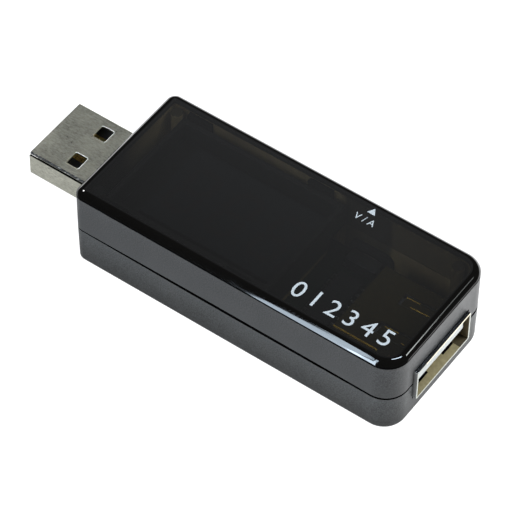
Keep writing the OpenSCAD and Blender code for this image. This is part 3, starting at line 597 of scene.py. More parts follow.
# The outside of the mouth's top is a darker copy of the plating: painted shade for the dark wall it
# mirrors.
socket_roof = plated_steel(
    "socket_roof", (0.24, 0.24, 0.25, 1), (0.18, 0.18, 0.19, 1), 0.14, short_streaks, faint)
steel_cover = plated_steel(
    "steel_cover", (0.26, 0.26, 0.26, 1), (0.2, 0.2, 0.2, 1), 0.3, long_streaks)
contact_gold = plated_steel(
    "contact_gold", (0.83, 0.62, 0.25, 1), (0.62, 0.45, 0.2, 1), 0.2, long_streaks)
tinned = plated_steel(
    "tinned", (0.40, 0.39, 0.36, 1), (0.30, 0.29, 0.27, 1), 0.32, long_streaks)
print("plated finishes:", nickel_plug.name, nickel_socket.name, contact_gold.name)

# %% [markdown]
# Where the sheet is punched, the tool leaves a thin bright burr round each window. Where it is sheared
# along the near side, the edge is torn into dark and bright specks: partly the torn metal, and partly a
# painted reflection of the dark room with painted glints. The thin lines where the socket's spring fingers
# and its near fold show through the smoked top are painted highlights, in a yellow finish. Inside its
# mouth the plating is dull and warm. Each is a finish for a few faces, part metal and part matt, so that
# it is lit from all sides.

# %% Cut edges and dull plating
broad_marks = 1500.0


def dull_metal(name, colour, metallic, scale=5000.0):
    """Bare or dull metal with an uneven skin."""
    finish, tree = start_finish(name, metallic=metallic, roughness=0.4)
    torn = use_effect(tree, grain, Scale=scale)
    tone = scaled_colour(tree, colour, torn["Tone"])
    feed(finish, base_color=tone, normal=bump(tree, torn["Height"], 0.2, 0.01 * MM))
    return finish


punched_burr = dull_metal("punched_burr", (0.46, 0.46, 0.43, 1), 0.3)
# Burr edges that catch no light are painted dark: painted shade.
painted_shade_burr = dull_metal("painted_shade_burr", (0.13, 0.12, 0.085, 1), 0.3)
mouth_rim = dull_metal("mouth_rim", (0.27, 0.275, 0.25, 1), 0.3)
# Yellow and nearly matt, so lit from all sides: a painted highlight for glints on thin edges.
painted_edge_glint = dull_metal("painted_edge_glint", (1.0, 0.64, 0.08, 1), 0.1)
socket_side = dull_metal("socket_side", (0.15, 0.155, 0.155, 1), 0.3)
mouth_floor = dull_metal("mouth_floor", (0.152, 0.130, 0.073, 1), 0.4, broad_marks)
mouth_wall = dull_metal("mouth_wall", (0.10, 0.08, 0.045, 1), 0.4, broad_marks)
# Under the roof the socket's top is painted dark brown: painted light that comes back through the smoke.
covered_steel = dull_metal("covered_steel", (0.045, 0.034, 0.006, 1), 0.1, broad_marks)
# A painted reflection of the far wall, on a strip of the mouth's floor.
painted_wall_reflection = dull_metal("painted_wall_reflection", (0.035, 0.028, 0.016, 1), 0.4, broad_marks)

# Dark and bright flakes: partly torn metal, partly a painted reflection of the dark room and painted
# glints.
sheared_edge, tree = start_finish("sheared_edge", metallic=0.5, roughness=0.3)
torn = use_effect(tree, grain, Scale=2600.0)
flakes = spread(tree, torn["Height"], 0.54, 0.66, 0.0, 1.0)
tone = mix_colours(tree, flakes, (0.008, 0.008, 0.008, 1), (0.2, 0.2, 0.185, 1))
feed(sheared_edge, base_color=tone, normal=bump(tree, torn["Height"], 0.4, 0.04 * MM))
print("edges of the sheet:", punched_burr.name, sheared_edge.name, painted_edge_glint.name)

# %% [markdown]
# Small mouldings and chips share one recipe too: a plain colour, the mould's grain in tone and bump, and
# a soft cloudiness in the gloss.

# %% Plain mouldings
def moulded(name, colour, roughness):
    """Plain moulded plastic or resin."""
    finish, tree = start_finish(name, ior=1.5)
    grains = use_effect(tree, grain, Scale=7000.0)
    clouds = use_effect(tree, smudge, Scale=300.0)["Mask"]
    tone = scaled_colour(tree, colour, grains["Tone"])
    uneven = bump(tree, grains["Height"], 0.2, 0.02 * MM)
    feed(finish, base_color=tone, roughness=raised(tree, roughness, clouds, 0.08), normal=uneven)
    return finish


black_core = moulded("black_core", (0.012, 0.012, 0.013, 1), 0.35)
white_tongue = moulded("white_tongue", (0.25, 0.26, 0.255, 1), 0.4)
display_resin = moulded("display_resin", (0.012, 0.014, 0.016, 1), 0.35)
frame_plastic = moulded("frame_plastic", (0.012, 0.012, 0.011, 1), 0.4)
segment_resin = moulded("segment_resin", (0.016, 0.013, 0.013, 1), 0.35)
laminate = moulded("laminate", (0.16, 0.13, 0.06, 1), 0.5)
chip_epoxy = moulded("chip_epoxy", (0.018, 0.018, 0.018, 1), 0.5)
tantalum = moulded("tantalum", (0.72, 0.46, 0.09, 1), 0.35)
plunger_nylon = moulded("plunger_nylon", (0.78, 0.75, 0.68, 1), 0.4)
print("small finishes:", black_core.name, white_tongue.name, chip_epoxy.name)

# %% [markdown]
# Chip resistors and capacitors have tinned ends. Both rows lie at one distance from the centre line, so
# the distance from the middle of a part along Y tells body from end: a mask that switches colour and
# metal. The board is green lacquer over copper, which shows as paler raised lines.

# %% Chip parts and board
row_middle = 8.55 * MM
tin_colour = (0.7, 0.7, 0.69, 1)


def chip_part(name, body_colour, half_body):
    """A chip part with a body and two tinned ends."""
    finish, tree = start_finish(name, ior=1.5)
    from_centre = math_node(tree, "ABSOLUTE", object_place(tree)["Y"])
    from_row = math_node(tree, "SUBTRACT", from_centre, row_middle)
    is_end = math_node(tree, "GREATER_THAN", math_node(tree, "ABSOLUTE", from_row), half_body)
    grains = use_effect(tree, grain, Scale=9000.0)
    tone = mix_colours(tree, is_end, scaled_colour(tree, body_colour, grains["Tone"]), tin_colour)
    rough = raised(tree, 0.3, grains["Height"], 0.2)
    feed(finish, base_color=tone, metallic=is_end, roughness=rough)
    return finish


ceramic_chip = chip_part("ceramic_chip", (0.45, 0.32, 0.20, 1), 0.6 * MM)
resistor_chip = chip_part("resistor_chip", (0.02, 0.02, 0.022, 1), 0.5 * MM)

board_mask, tree = start_finish("board_mask", ior=1.5)
pattern = {"Vector": object_vector(tree), "Scale": 420.0}
tracks = add_node(tree, "TexVoronoi", pattern, feature="DISTANCE_TO_EDGE").outputs[0]
copper = spread(tree, tracks, 0.06, 0.09, 1.0, 0.0)
grains = use_effect(tree, grain, Scale=6000.0)
green = mix_colours(tree, copper, (0.004, 0.012, 0.007, 1), (0.008, 0.022, 0.012, 1))
rough = raised(tree, 0.25, grains["Height"], 0.15)
feed(board_mask, base_color=green, roughness=rough, normal=bump(tree, copper, 0.3, 0.03 * MM))
print("board and chips:", board_mask.name, ceramic_chip.name, resistor_chip.name)

# %% [markdown]
# ## Case plan and profile
# Both halves have the same plan: a long rectangle with small corners at the plug end and large ones at
# the socket end. A half is made as a loft: the plan is drawn in by a little at each height, and the
# rings are joined by faces. A list of insets and heights is then the whole profile, from the inner
# corner over the seam and the wall to the outer face. A bevelled box could give the form too, but here
# every height can be read and changed on its own.
# The halves don't close quite alike all round. Their seam is tightest near the plug, and it gapes in the
# middle of the long sides and at the socket's far corner.

# %% Seam and plan
half_len = 27.1
half_wid = 11.8
plug_corner = 1.5
port_corner = 3.6
least_corner = 0.25
corner_steps = 14
side_steps = 12
gape_least, gape_ends, gape_rise = 0.08, 0.11, 0.185
gape_middle, gape_reach = 3, 28
far_x, far_y = 20, 2
far_long, far_wide, far_gape = 7, 6, 0.1


def half_gap(x, y):
    """Half of the seam's gap at a place."""
    gape = max(gape_ends + gape_rise * (1 - ((x - gape_middle) / gape_reach) ** 2), gape_least)
    at_far_corner = max(x - far_x, 0) / far_long * max(y - far_y, 0) / far_wide
    return gape + far_gape * min(at_far_corner, 1)


def plan_ring(inset, z, bow=0):
    """The case's outline, drawn in by an inset. With a bow of 1 or -1 it follows the gap up or down."""
    plan = []
    for corner in range(4):
        at_plug = corner in (1, 2)
        radius = max((plug_corner if at_plug else port_corner) - inset, least_corner)
        along = (half_len - inset - radius) * (-1 if at_plug else 1)
        across = (half_wid - inset - radius) * (1 if corner < 2 else -1)
        if corner in (1, 3):
            last_x, last_y = plan[-1]
            for step in range(1, side_steps):
                plan.append((last_x + (along - last_x) * step / side_steps, last_y))
        for step in range(corner_steps + 1):
            angle = math.radians(90 * (corner + step / corner_steps))
            plan.append((along + radius * math.cos(angle), across + radius * math.sin(angle)))
    return [(x, y, z + bow * half_gap(x, y)) for x, y in plan]


print("seam's gap in the middle:", round(2 * half_gap(gape_middle, 0), 2), "mm")


# %% Loft
def add_band(shape, ring, following, slot=0):
    """Joins two rings of corners by faces. A slot is the number of a face's finish."""
    for i in range(len(ring)):
        j = (i + 1) % len(ring)
        shape.faces.new((ring[i], ring[j], following[j], following[i])).material_index = slot


def loft(rings, slots, first_slot, last_slot):
    """A shape through a list of rings, closed at both ends."""
    shape = bmesh.new()
    loops = [[shape.verts.new(point) for point in ring] for ring in rings]
    for ring, following, slot in zip(loops, loops[1:], slots):
        add_band(shape, ring, following, slot)
    shape.faces.new(loops[0]).material_index = first_slot
    shape.faces.new(loops[-1]).material_index = last_slot
    bmesh.ops.recalc_face_normals(shape, faces=shape.faces)
    return shape


print("the plan has", len(plan_ring(0, 0)), "corners")

# %% [markdown]
# ## Upper half
# The wall stands straight up to a fine step near the top, where the satin stops and the polished rounding
# begins. The top lies a hair under the CAD model's height, which leaves room for the printing. Plastic
# bends the view through it, which Alpha doesn't, so the roof is drawn thinner than it is to show the
# walls where they would be seen.

# %% Upper half
wall = 1.4
lip_gap = 0.65
lip_top = 8.3
roof_under = 13.9
seam_z = 7.0
edge_soft = 0.03
edge_mid = 0.3 * edge_soft
top_z = 14.688
top_round = 1.58
polish_ends = math.radians(60)
polish_steps = 14
groove_high = 0.34
groove_lip = 0.1 * groove_high
groove_deep = 0.05

rounding = []
for i in range(polish_steps + 1):
    angle = polish_ends * (1 - i / polish_steps)
    inset = top_round * (math.sin(polish_ends) - math.sin(angle))
    rounding.append((inset, top_z - top_round * (1 - math.cos(angle))))
crease_z = rounding[0][1]
profile = [
    (wall, roof_under), (wall, lip_top), (lip_gap, lip_top), (lip_gap, seam_z, 1),
    (edge_soft, seam_z, 1), (edge_mid, seam_z + edge_mid, 1), (0, seam_z + edge_soft, 1),
    (0, crease_z - groove_high), (groove_deep, crease_z - groove_lip),
] + rounding
upper_finishes = [
    smoked_polish, satin_upper, smoked_inside, smoked_under, shadow_line, polished_edge, smoked_post]
POLISH, SATIN, INSIDE, UNDER, SHADOW, EDGE, POST = range(len(upper_finishes))
# The seam's faces and the fine step under the polish have the shadow finish: painted shade.
slots = [INSIDE, INSIDE, SHADOW, SHADOW, SHADOW, SATIN, SATIN, SHADOW, SHADOW] + [EDGE] * polish_steps
upper = loft([plan_ring(*point) for point in profile], slots, UNDER, POLISH)
print("polish begins at", round(crease_z, 2), "mm")

# %% [markdown]
# Both connectors pass through the end walls. A box with a small clearance round each of them is cut away.
# The wall could be drawn with the openings in it, but a Boolean modifier leaves the loft as simple as it
# is. Its slots keep the finishes of the faces apart through the cut.

# %% Boxes and cuts
def add_block(shape, corner, opposite, slot=0):
    """Adds a box between two opposite corners."""
    low = Vector([min(ends) for ends in zip(corner, opposite)])
    high = Vector([max(ends) for ends in zip(corner, opposite)])
    made = bmesh.ops.create_cube(shape, size=1)["verts"]
    for vert in made:
        vert.co = low + Vector([(c + 0.5) * s for c, s in zip(vert.co, high - low)])
    for face in {face for vert in made for face in vert.link_faces}:
        face.material_index = slot


def cut_away(shape, tool, slots):
    """Cuts a tool's shape out of another with a Boolean modifier, and hands back the result."""
    pair = []
    for part in (shape, tool):
        mesh = mesh_of(part, "work")
        for _ in range(slots):
            mesh.materials.append(None)
        pair.append(place_in_scene("work", mesh))
    change = pair[0].modifiers.new("cut", "BOOLEAN")
    change.operation = "DIFFERENCE"
    change.solver = "EXACT"
    change.object = pair[1]
    shaped = pair[0].evaluated_get(bpy.context.evaluated_depsgraph_get())
    result = bmesh.new()
    result.from_mesh(shaped.to_mesh())
    for thing in pair:
        mesh = thing.data
        bpy.data.objects.remove(thing)
        bpy.data.meshes.remove(mesh)
    return result


print("shape helpers:", [helper.__name__ for helper in (add_block, cut_away)])

# %% Openings of the upper half
mouth_fit = 0.15
past = 1.0
plug_z = 6.65
socket_z = 6.5


def mouth_tool(slot):
    """Boxes that open the end walls round the plug and the socket."""
    tool = bmesh.new()
    inner_x, outer_x = half_len - wall - past, half_len + past
    for node, end, middle in (("plug_shell", -1, plug_z), ("receptacle_shell", 1, socket_z)):
        low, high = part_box(node)
        reach = high.y / MM + mouth_fit
        rise = high.z / MM - middle + mouth_fit
        inner, outer = (end * inner_x, -reach, middle - rise), (end * outer_x, reach, middle + rise)
        add_block(tool, inner, outer, slot)
    return tool


upper = cut_away(upper, mouth_tool(SATIN), len(upper_finishes))
print("upper half:", len(upper.faces), "faces with its openings")

# %% [markdown]
# The clip arms, and the posts that hold the board down, are plain mouldings that start in the roof. Each
# clip is an arm and a small nib that snaps into a pocket of the lower half.

# %% Clips and posts
clip_places = (-20.9, 0.0)
clip_half = 2.0
clip_out = 10.3
clip_t = 0.8
clip_foot = 4.8
nib_root, nib_reach = 0.05, 0.45
nib_low, nib_high = clip_foot + 0.5, clip_foot + 1.1
post_places = [(-24.4, 9.1), (23.5, 9.1)]
post_radius = 0.9
post_foot = 3.62


def add_post(shape, x, y, radius, low, high, slot=0, end_slot=0):
    """Adds a round upright post. Its ends can have a finish of their own."""
    made = bmesh.ops.create_cone(
        shape, cap_ends=True, segments=24, radius1=radius, radius2=radius, depth=high - low,
        matrix=Matrix.Translation((x, y, (low + high) / 2)))
    for face in {face for vert in made["verts"] for face in vert.link_faces}:
        face.normal_update()
        face.material_index = end_slot if abs(face.normal.z) > 0.5 else slot


# Clip arms get the shadow finish and the posts' ends the nearly black wall copy: painted shade.
for side in (-1, 1):
    for x in clip_places:
        left, right = x - clip_half, x + clip_half
        arm_in, arm_out = side * (clip_out - clip_t), side * clip_out
        add_block(upper, (left, arm_in, clip_foot), (right, arm_out, roof_under), SHADOW)
        nib_in, nib_out = side * (clip_out - nib_root), side * (clip_out + nib_reach)
        add_block(upper, (left, nib_in, nib_low), (right, nib_out, nib_high), SHADOW)
    for x, y in post_places:
        add_post(upper, x, side * y, post_radius, post_foot, roof_under, INSIDE, POST)
print("upper half:", len(upper.faces), "faces with its clips and posts")

# %% [markdown]
# ## From mesh to piece
# One helper turns a drawn shape into a piece: scaled to metres, smooth where faces meet at a small angle
# and sharp elsewhere. Weighted normals let large flat faces stay flat beside small roundings. The piece
# then rides on its body, and the CAD node that it stands for is hidden.

# %% Piece helper
smooth_angle = math.radians(32)


def make_piece(name, shape, finishes, body, stands_for=()):
    """Makes a piece of a shape that is drawn in millimetres."""
    mesh = mesh_of(shape, name)
    mesh.transform(Matrix.Scale(MM, 4))
    for finish in finishes:
        mesh.materials.append(finish)
    mesh.shade_smooth()
    mesh.set_sharp_from_angle(angle=smooth_angle)
    piece = place_in_scene(name, mesh)
    weighted = piece.modifiers.new("weighted", "WEIGHTED_NORMAL")
    weighted.keep_sharp = True
    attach(piece, body)
    if stands_for:
        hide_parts(*stands_for)
    print(name, "has", len(mesh.polygons), "faces")
    return piece


make_piece("case_top", upper, upper_finishes, "case", ["upper_shell"])

# %% [markdown]
# ## Lower half
# The same loft, upside down: the inner floor, the lip that centres the halves, the seam, the wall that
# leans in towards the underside, the rounding and the flat base.

# %% Lower half
base = 1.5
base_round = 1.0
base_lean = 0.08
base_steps = 10
lip_in = 0.75
lip_soft = 0.05
lip_high = lip_top - 0.05

base_rounding = []
for i in range(base_steps + 1):
    angle = math.radians(90 * (1 - i / base_steps))
    inset = base_lean + base_round * (1 - math.sin(angle))
    base_rounding.append((inset, base_round * (1 - math.cos(angle))))
profile = [
    (wall, base), (wall, lip_high), (lip_in + lip_soft, lip_high), (lip_in, lip_high - lip_soft),
    (lip_in, seam_z, -1), (edge_soft, seam_z, -1), (edge_mid, seam_z - edge_mid, -1),
    (0, seam_z - edge_soft, -1),
] + base_rounding
lower_finishes = [satin_lower, shadow_line, smoked_low]
OUTER, LIP, FLOOR = range(len(lower_finishes))
# The lip's faces, its top too, have the shadow finish: painted shade.
slots = [FLOOR, LIP, LIP, LIP, LIP, LIP]
slots += [OUTER] * (len(profile) - 1 - len(slots))
lower = loft([plan_ring(*point) for point in profile], slots, FLOOR, OUTER)
lower = cut_away(lower, mouth_tool(OUTER), len(lower_finishes))
print("lower half:", len(lower.faces), "faces before the holes")

# %% [markdown]
# The button's hole is a rounded bar cut through the wall. The same outline, a little smaller, gives the
# button itself further below, so both are drawn from one list of corners.

# %% Button hole
button_low, button_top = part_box("button_cap")
button_x = (button_low.x + button_top.x) / 2 / MM
button_z = (button_low.z + button_top.z) / 2 / MM
button_wide = 6.0
button_high = 2.6
button_round = 0.8
button_fit = 0.15
inside_y = half_wid - wall - past


def rounded_rectangle_points(wide, high, radius, steps=6):
    """Corner points of a rounded rectangle about the origin."""
    points = []
    for corner in range(4):
        middle_x = (wide / 2 - radius) * (1 if corner in (0, 3) else -1)
        middle_y = (high / 2 - radius) * (1 if corner < 2 else -1)
        for step in range(steps + 1):
            angle = math.radians(90 * (corner + step / steps))
            points.append((middle_x + radius * math.cos(angle), middle_y + radius * math.sin(angle)))
    return points


def button_ring(grow, y):
    """The button's outline grown by a clearance, at one depth."""
    flat = rounded_rectangle_points(button_wide + 2 * grow, button_high + 2 * grow, button_round + grow)
    return [(button_x + x, y, button_z + z) for x, z in flat]


hole = loft([button_ring(button_fit, y) for y in (inside_y, half_wid + past)], [OUTER], OUTER, OUTER)
lower = cut_away(lower, hole, len(lower_finishes))
print("button's hole at x", round(button_x, 2), "and z", round(button_z, 2), "mm")

# %% [markdown]
# The clips' pockets are cut as well. Short posts carry the board, and two pegs with shoulders go into
# it, so that it can't slide.

# %% Pockets, posts and pegs
pocket_fit = 0.1
pocket_out = clip_out + 0.6
pocket_top = clip_foot + 1.3
foot_z = base - 0.2
board_under = 2.38
peg_places = ((-21.65, 9.0), (19.7, -9.0))
shoulder_radius, peg_radius, peg_top = 1.05, 0.75, 4.0

pockets = bmesh.new()
for side in (-1, 1):
    for x in clip_places:
        near_corner = (x - clip_half - pocket_fit, side * inside_y, clip_foot - pocket_fit)
        far_corner = (x + clip_half + pocket_fit, side * pocket_out, pocket_top)
        add_block(pockets, near_corner, far_corner)
lower = cut_away(lower, pockets, len(lower_finishes))
for side in (-1, 1):
    for x, y in post_places:
        add_post(lower, x, side * y, post_radius, foot_z, board_under)
for x, y in peg_places:
    add_post(lower, x, y, shoulder_radius, foot_z, board_under)
    add_post(lower, x, y, peg_radius, foot_z, peg_top)
make_piece("case_bottom", lower, lower_finishes, "case", ["lower_shell"])

# %% [markdown]
# ## Button
# The button is on the side that the photograph doesn't show. A small arrow on the top points to it. It
# is a rounded bar with a softly domed face, and a flange behind the wall keeps it in. The crown says how
# far the outline grows, and how far it lies behind the face. It is the same kind of loft as the case,
# lying on its side.

# %% Button
button_face = button_top.y / MM
crown = [(0, 0.45), (-0.04, 0.25), (-0.14, 0.1), (-0.32, 0.02), (-0.6, 0)]
flange_reach = 0.6
flange_back = 9.66
flange_front = half_wid - wall - 0.01

sections = [(flange_reach, flange_back), (flange_reach, flange_front), (0, flange_front)]
sections += [(grow, button_face - behind) for grow, behind in crown]
rings = [button_ring(grow, y) for grow, y in sections]
button = loft(rings, [0] * (len(rings) - 1), 0, 0)
make_piece("button", button, [satin_button], "button", ["button_cap"])

# %% [markdown]
# ## Softened copies
# The other pieces have the right shape in CAD, but its edges are knife-sharp, and no real edge is. Each
# gets a copy of its CAD mesh with its flat faces joined again and its outer edges bevelled by a few
# hundredths of a millimetre, which is what catches the light on real parts. An edge can have a wider
# bevel with a finish of its own, and a patch of faces can have its own finish too. Where a patch ends
# within a face, a plane splits the face first. A Bevel modifier could soften a whole piece, but bmesh
# lets a test choose the edges.

# %% Softened copies
merge_gap = 0.0005
flat_angle = math.radians(0.5)
sharp_angle = math.radians(40)


def outer_edges(shape, chosen):
    """The sharp outer edges of a shape. A test of an edge's middle can choose among them."""
    found = []
    for edge in shape.edges:
        if edge.is_manifold and edge.is_convex and edge.calc_face_angle() > sharp_angle:
            if not chosen or chosen((edge.verts[0].co + edge.verts[1].co) / 2):
                found.append(edge)
    return found


def softened(node, name, finishes, width, steps=2, body="case", rims=(), patches=(), splits=()):
    """A bevelled copy of a CAD node. A rim is a test of an edge's middle, a width and the number of its
    finish. A patch is a test of a face's middle and direction, and the number of its finish. A split is
    the point of a plane that lies nearest to the origin."""
    shape = bmesh.new()
    shape.from_mesh(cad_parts[node].data)
    bmesh.ops.scale(shape, vec=(1 / MM, 1 / MM, 1 / MM), verts=shape.verts)
    bmesh.ops.remove_doubles(shape, verts=shape.verts, dist=merge_gap)
    bmesh.ops.dissolve_limit(shape, angle_limit=flat_angle, verts=shape.verts, edges=shape.edges)
    for chosen, rim_width, rim_slot in list(rims) + [(None, width, -1)]:
        bmesh.ops.bevel(
            shape, geom=outer_edges(shape, chosen), offset=rim_width, offset_type="OFFSET",
            segments=steps, profile=0.5, affect="EDGES", clamp_overlap=True, material=rim_slot)
    for split in splits:
        whole = list(shape.verts) + list(shape.edges) + list(shape.faces)
        bmesh.ops.bisect_plane(shape, geom=whole, plane_co=split, plane_no=Vector(split).normalized())
    for chosen, face_slot in patches:
        for face in shape.faces:
            if chosen(face.calc_center_median(), face.normal):
                face.material_index = face_slot
    return make_piece(name, shape, finishes, body, [node])


print("softened copies: edges above", round(math.degrees(sharp_angle)), "degrees are bevelled")

# %% [markdown]
# The top plate of the plug is sheared along its near side. The torn edge there is wider than the other
# edges, and the slit under it, where the sheet is folded, is painted black: painted shade.

# %% Plug
plug_low, plug_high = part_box("plug_shell")
plug_front, plate_top = plug_low.x / MM, plug_high.z / MM
plate_bottom = 2 * plug_z - plate_top
sheared_wide = 0.24
sheared_y, sheared_z = -5.7, plate_top - 0.05
slit_x, slit_y, slit_z = -26, -5.65, plate_top - 0.42
slit_half = 0.1


def is_sheared_side(middle):
    """The upper edge of the plug's top plate along its near side."""
    return middle.z > sheared_z and middle.y < sheared_y


def is_fold_slit(middle, normal):
    """The faces in the slit under that edge."""
    return abs(middle.z - slit_z) < slit_half and middle.y < slit_y and middle.x < slit_x


softened("plug_shell", "plug_sleeve", [nickel_plug, sheared_edge, shadow_line], 0.05, 3,
         rims=[(is_sheared_side, sheared_wide, 1)], patches=[(is_fold_slit, 2)])
softened("plug_insulator", "plug_core", [black_core], 0.06)
softened("plug_contacts", "plug_strips", [contact_gold], 0.04)

# %% [markdown]
# The socket's sheet looks different in each place, so each row of a table names a finish and tests which
# faces have it, by where a face lies and which way it is facing. A later row wins. Inside the case the top
# has little to mirror, and it is painted dark brown, as painted light that comes back through the smoke,
# with a painted highlight line on its near fold. At the mouth the outside, the floor, the far wall and the
# cut front edge each have their own look; the outside of the top is a darker copy of the plating, as
# painted shade. In the floor, under the tongue, two places are painted black, as painted shade, where its
# own spring fingers leave the sheet, and a strip carries a painted reflection of the far wall.

# %% Socket
socket_low, socket_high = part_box("receptacle_shell")
socket_front, socket_top = socket_high.x / MM, socket_high.z / MM
socket_near = socket_low.y / MM
mouth_x = 25.7
floor_x, floor_z = 26.45, socket_top - 4
finger_in, finger_out = 1.85, 4.35
fold_y, fold_z = socket_near + 0.3, socket_top - 0.1
covered_z, roof_z = socket_top - 0.5, socket_top - 0.2
side_y = socket_near + 0.1
rim_x, rim_z = socket_front - 0.06, socket_top - 0.32
most = 0.5


def is_floor(at, facing):
    """The inside of the socket's bottom near the mouth."""
    return at.x > mouth_x and facing.z > most and at.z < floor_z


socket_patches = [
    (covered_steel, lambda at, facing: at.x < mouth_x and facing.z > most and at.z > covered_z),
    (painted_edge_glint, lambda at, facing: at.x < mouth_x and at.y < fold_y and at.z > fold_z),
    (socket_roof, lambda at, facing: at.x > mouth_x and facing.z > most and at.z > roof_z),
    (socket_side, lambda at, facing: at.x > mouth_x and facing.y < -most and at.y < side_y),
    (mouth_floor, is_floor),
    (shadow_line, lambda at, facing: is_floor(at, facing) and at.x < floor_x
     and finger_in < abs(at.y) < finger_out),
    (painted_wall_reflection, lambda at, facing: is_floor(at, facing) and at.y > finger_out),
    (mouth_wall, lambda at, facing: at.x > mouth_x and facing.y < -most and at.y > 0),
    (mouth_rim, lambda at, facing: at.x > rim_x and at.z < rim_z),
]
socket_finishes = [nickel_socket] + [finish for finish, test in socket_patches]
socket_splits = [(mouth_x, 0, 0), (floor_x, 0, 0)]
for y in (finger_in, finger_out):
    socket_splits += [(0, y, 0), (0, -y, 0)]
softened("receptacle_shell", "socket_sleeve", socket_finishes, 0.05, splits=socket_splits,
         patches=[(test, i + 1) for i, (finish, test) in enumerate(socket_patches)])

# %% [markdown]
# The pieces inside have one finish each, and differ in how round their edges are.

# %% Pieces inside
for node, name, finish, slot, width in (
    ("receptacle_insulator", "socket_tongue", white_tongue, "white_plastic", 0.1),
    ("receptacle_contacts", "socket_springs", contact_gold, "contact_gold", 0.03),
    ("display_frame", "display_surround", frame_plastic, "display_black", 0.06),
    ("display_body", "display_block", display_resin, "display_black", 0.05),
    ("meter_chip", "meter_package", chip_epoxy, "chip_black", 0.12),
    ("shunt_resistor", "shunt_block", chip_epoxy, "chip_black", 0.06),
    ("regulator", "regulator_package", chip_epoxy, "chip_black", 0.1),
    ("bulk_capacitor", "bulk_package", tantalum, "capacitor_yellow", 0.08),
    ("chip_capacitors", "ceramic_row", ceramic_chip, "ceramic_tan", 0.05),
    ("chip_resistors", "resistor_row", resistor_chip, "chip_black", 0.03),
    ("switch_base", "switch_housing", black_core, "black_plastic", 0.05),
):
    softened(node, name, [finish], width)
softened("switch_plunger", "switch_pusher", [plunger_nylon], 0.05, body="plunger")

# %% [markdown]
# The snap dome is a bowed leaf of spring steel behind the plunger. It gives way when the button is
# pressed. Its copy gets a mesh of its own.

# %% Snap dome
dome = softened("switch_dome", "snap_dome", [steel_cover], 0.01)
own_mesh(dome)

# %% [markdown]
# Punching leaves a raised burr round each window of the plug. It is a thin closed tube that follows the
# window's edge, half sunk in the sheet. At each point of the path a small ring of corners stands across
# the path's direction. The two edges towards the plug's tip and the near side are painted dark, as
# painted shade. A curve with a round bevel could draw it too, but here each face can get its own finish.

# %% Burrs round the windows
window_middle = plug_front + 6.4
window_y = 3.1
window_long, window_wide, window_round = 2.2, 2.5, 0.3
burr = 0.045
burr_sides = 8
shade_from = 0.3


def add_closed_tube(shape, path, radius, sides):
    """Adds a round tube along a closed level path."""
    loops = []
    for i, point in enumerate(path):
        forward = (path[(i + 1) % len(path)] - path[i - 1]).normalized()
        across = forward.cross(Vector((0, 0, 1)))
        loop = []
        for side in range(sides):
            angle = math.radians(360 * side / sides)
            offset = across * math.cos(angle) + Vector((0, 0, math.sin(angle)))
            loop.append(shape.verts.new(point + radius * offset))
        loops.append(loop)
    for loop, following in zip(loops, loops[1:] + loops[:1]):
        add_band(shape, loop, following)


burrs = bmesh.new()
outline = rounded_rectangle_points(window_long, window_wide, window_round, 4)
for side in (-1, 1):
    for z in (plate_top, plate_bottom):
        path = [Vector((window_middle + x, side * window_y + y, z)) for x, y in outline]
        add_closed_tube(burrs, path, burr, burr_sides)
# Faces towards the plug's tip and the near side get the dark finish: painted shade.
for face in burrs.faces:
    middle = face.calc_center_median()
    from_middle = middle.x - window_middle + middle.y - math.copysign(window_y, middle.y)
    face.material_index = 1 if from_middle < -shade_from else 0
bmesh.ops.recalc_face_normals(burrs, faces=burrs.faces)
make_piece("window_burrs", burrs, [punched_burr, painted_shade_burr], "case")

# %% [markdown]
# Where the two spring fingers in the socket's top catch the light, their cut edges show through the
# smoked top as bright lines. These are painted highlights: each is a thin rod of the yellow glint finish
# that follows the finger's edge from a start to an end and sinks with it.

# %% Bright edges of the fingers
finger_root = 24.4
finger_slope = math.tan(math.radians(4))
edge_runs = [(3.75, 18.9, 21.1), (2.5, 20.3, 23.4), (-2.25, 19.3, 21.6), (-3.55, 22.8, 23.5)]
edge_radius = 0.08

painted_glint_rods = bmesh.new()
for y, start, end in edge_runs:
    foot, head = (Vector((x, y, socket_top - (finger_root - x) * finger_slope)) for x in (start, end))
    along = head - foot
    turn = along.to_track_quat("Z", "Y").to_matrix().to_4x4()
    bmesh.ops.create_cone(
        painted_glint_rods, cap_ends=True, segments=10, radius1=edge_radius, radius2=edge_radius,
        depth=along.length, matrix=Matrix.Translation((foot + head) / 2) @ turn)
make_piece("finger_edges", painted_glint_rods, [painted_edge_glint], "case")

# %% [markdown]
# The rest of the inside keeps its CAD mesh, because its shape is right as it is, and only gets its
# finish.

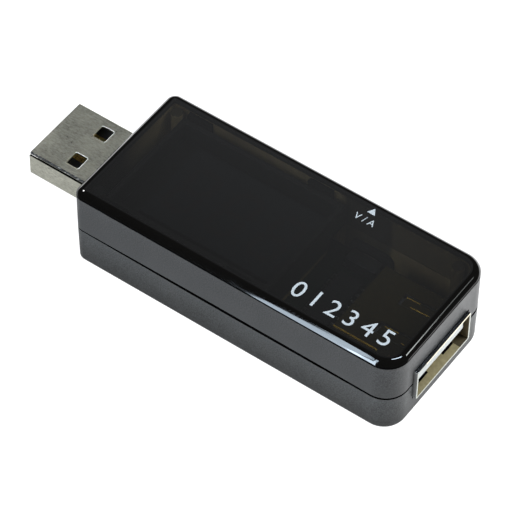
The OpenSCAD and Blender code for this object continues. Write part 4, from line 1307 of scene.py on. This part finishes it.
# %% Finishes of the CAD pieces that stay
for node, finish in (
    ("main_board", board_mask), ("display_segments", segment_resin), ("display_board", laminate),
    ("display_pins", tinned), ("meter_chip_leads", tinned), ("regulator_leads", tinned),
    ("switch_cover", steel_cover), ("switch_terminals", tinned),
):
    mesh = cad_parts[node].data
    mesh.materials.clear()
    mesh.materials.append(finish)
    print(node, "is finished with", finish.name)

# %% [markdown]
# ## Printing
# The top carries pad printing: an arrowhead that points to the button, a short unit mark under it, and a
# row of plain numbers along the near edge. Text objects give the figures, and each is scaled to its
# measured height, laid on the top and made into a thin film. A picture laid on the top could show the
# same, but films stay sharp from close by.

# %% Printing
film_low = 14.690
film_high = 14.697
arrowhead = [(8.25, 9.2), (9.55, 9.2), (8.9, 10.3)]
unit_x, unit_y, unit_high = 8.8, 7.85, 1.1
number_count = 6
number_x, number_y, number_high = 8.6, -7.55, 2.8
number_step = 2.85


def add_figure(shape, words, x, y, high):
    """Adds printed figures, centred on x and y, that read along X."""
    curve = bpy.data.curves.new("figure", "FONT")
    curve.body = words
    curve.extrude = 0.01
    text = place_in_scene("figure", curve)
    mesh = text.evaluated_get(bpy.context.evaluated_depsgraph_get()).to_mesh()
    low = Vector([min(v.co[i] for v in mesh.vertices) for i in range(3)])
    top = Vector([max(v.co[i] for v in mesh.vertices) for i in range(3)])
    scale = high / (top.y - low.y)
    flat = (film_high - film_low) / (top.z - low.z)
    middle = (low + top) / 2
    place = Matrix.Translation((x, y, (film_low + film_high) / 2))
    mesh.transform(place @ Matrix.Diagonal((scale, scale, flat, 1)) @ Matrix.Translation(-middle))
    shape.from_mesh(mesh)
    bpy.data.objects.remove(text)
    bpy.data.curves.remove(curve)


marks = loft([[(x, y, z) for x, y in arrowhead] for z in (film_low, film_high)], [0], 0, 0)
add_figure(marks, "V / A", unit_x, unit_y, unit_high)
for i in range(number_count):
    add_figure(marks, str(i), number_x + i * number_step, number_y, number_high)
bmesh.ops.recalc_face_normals(marks, faces=marks.faces)
make_piece("printed_marks", marks, [print_ink], "case")
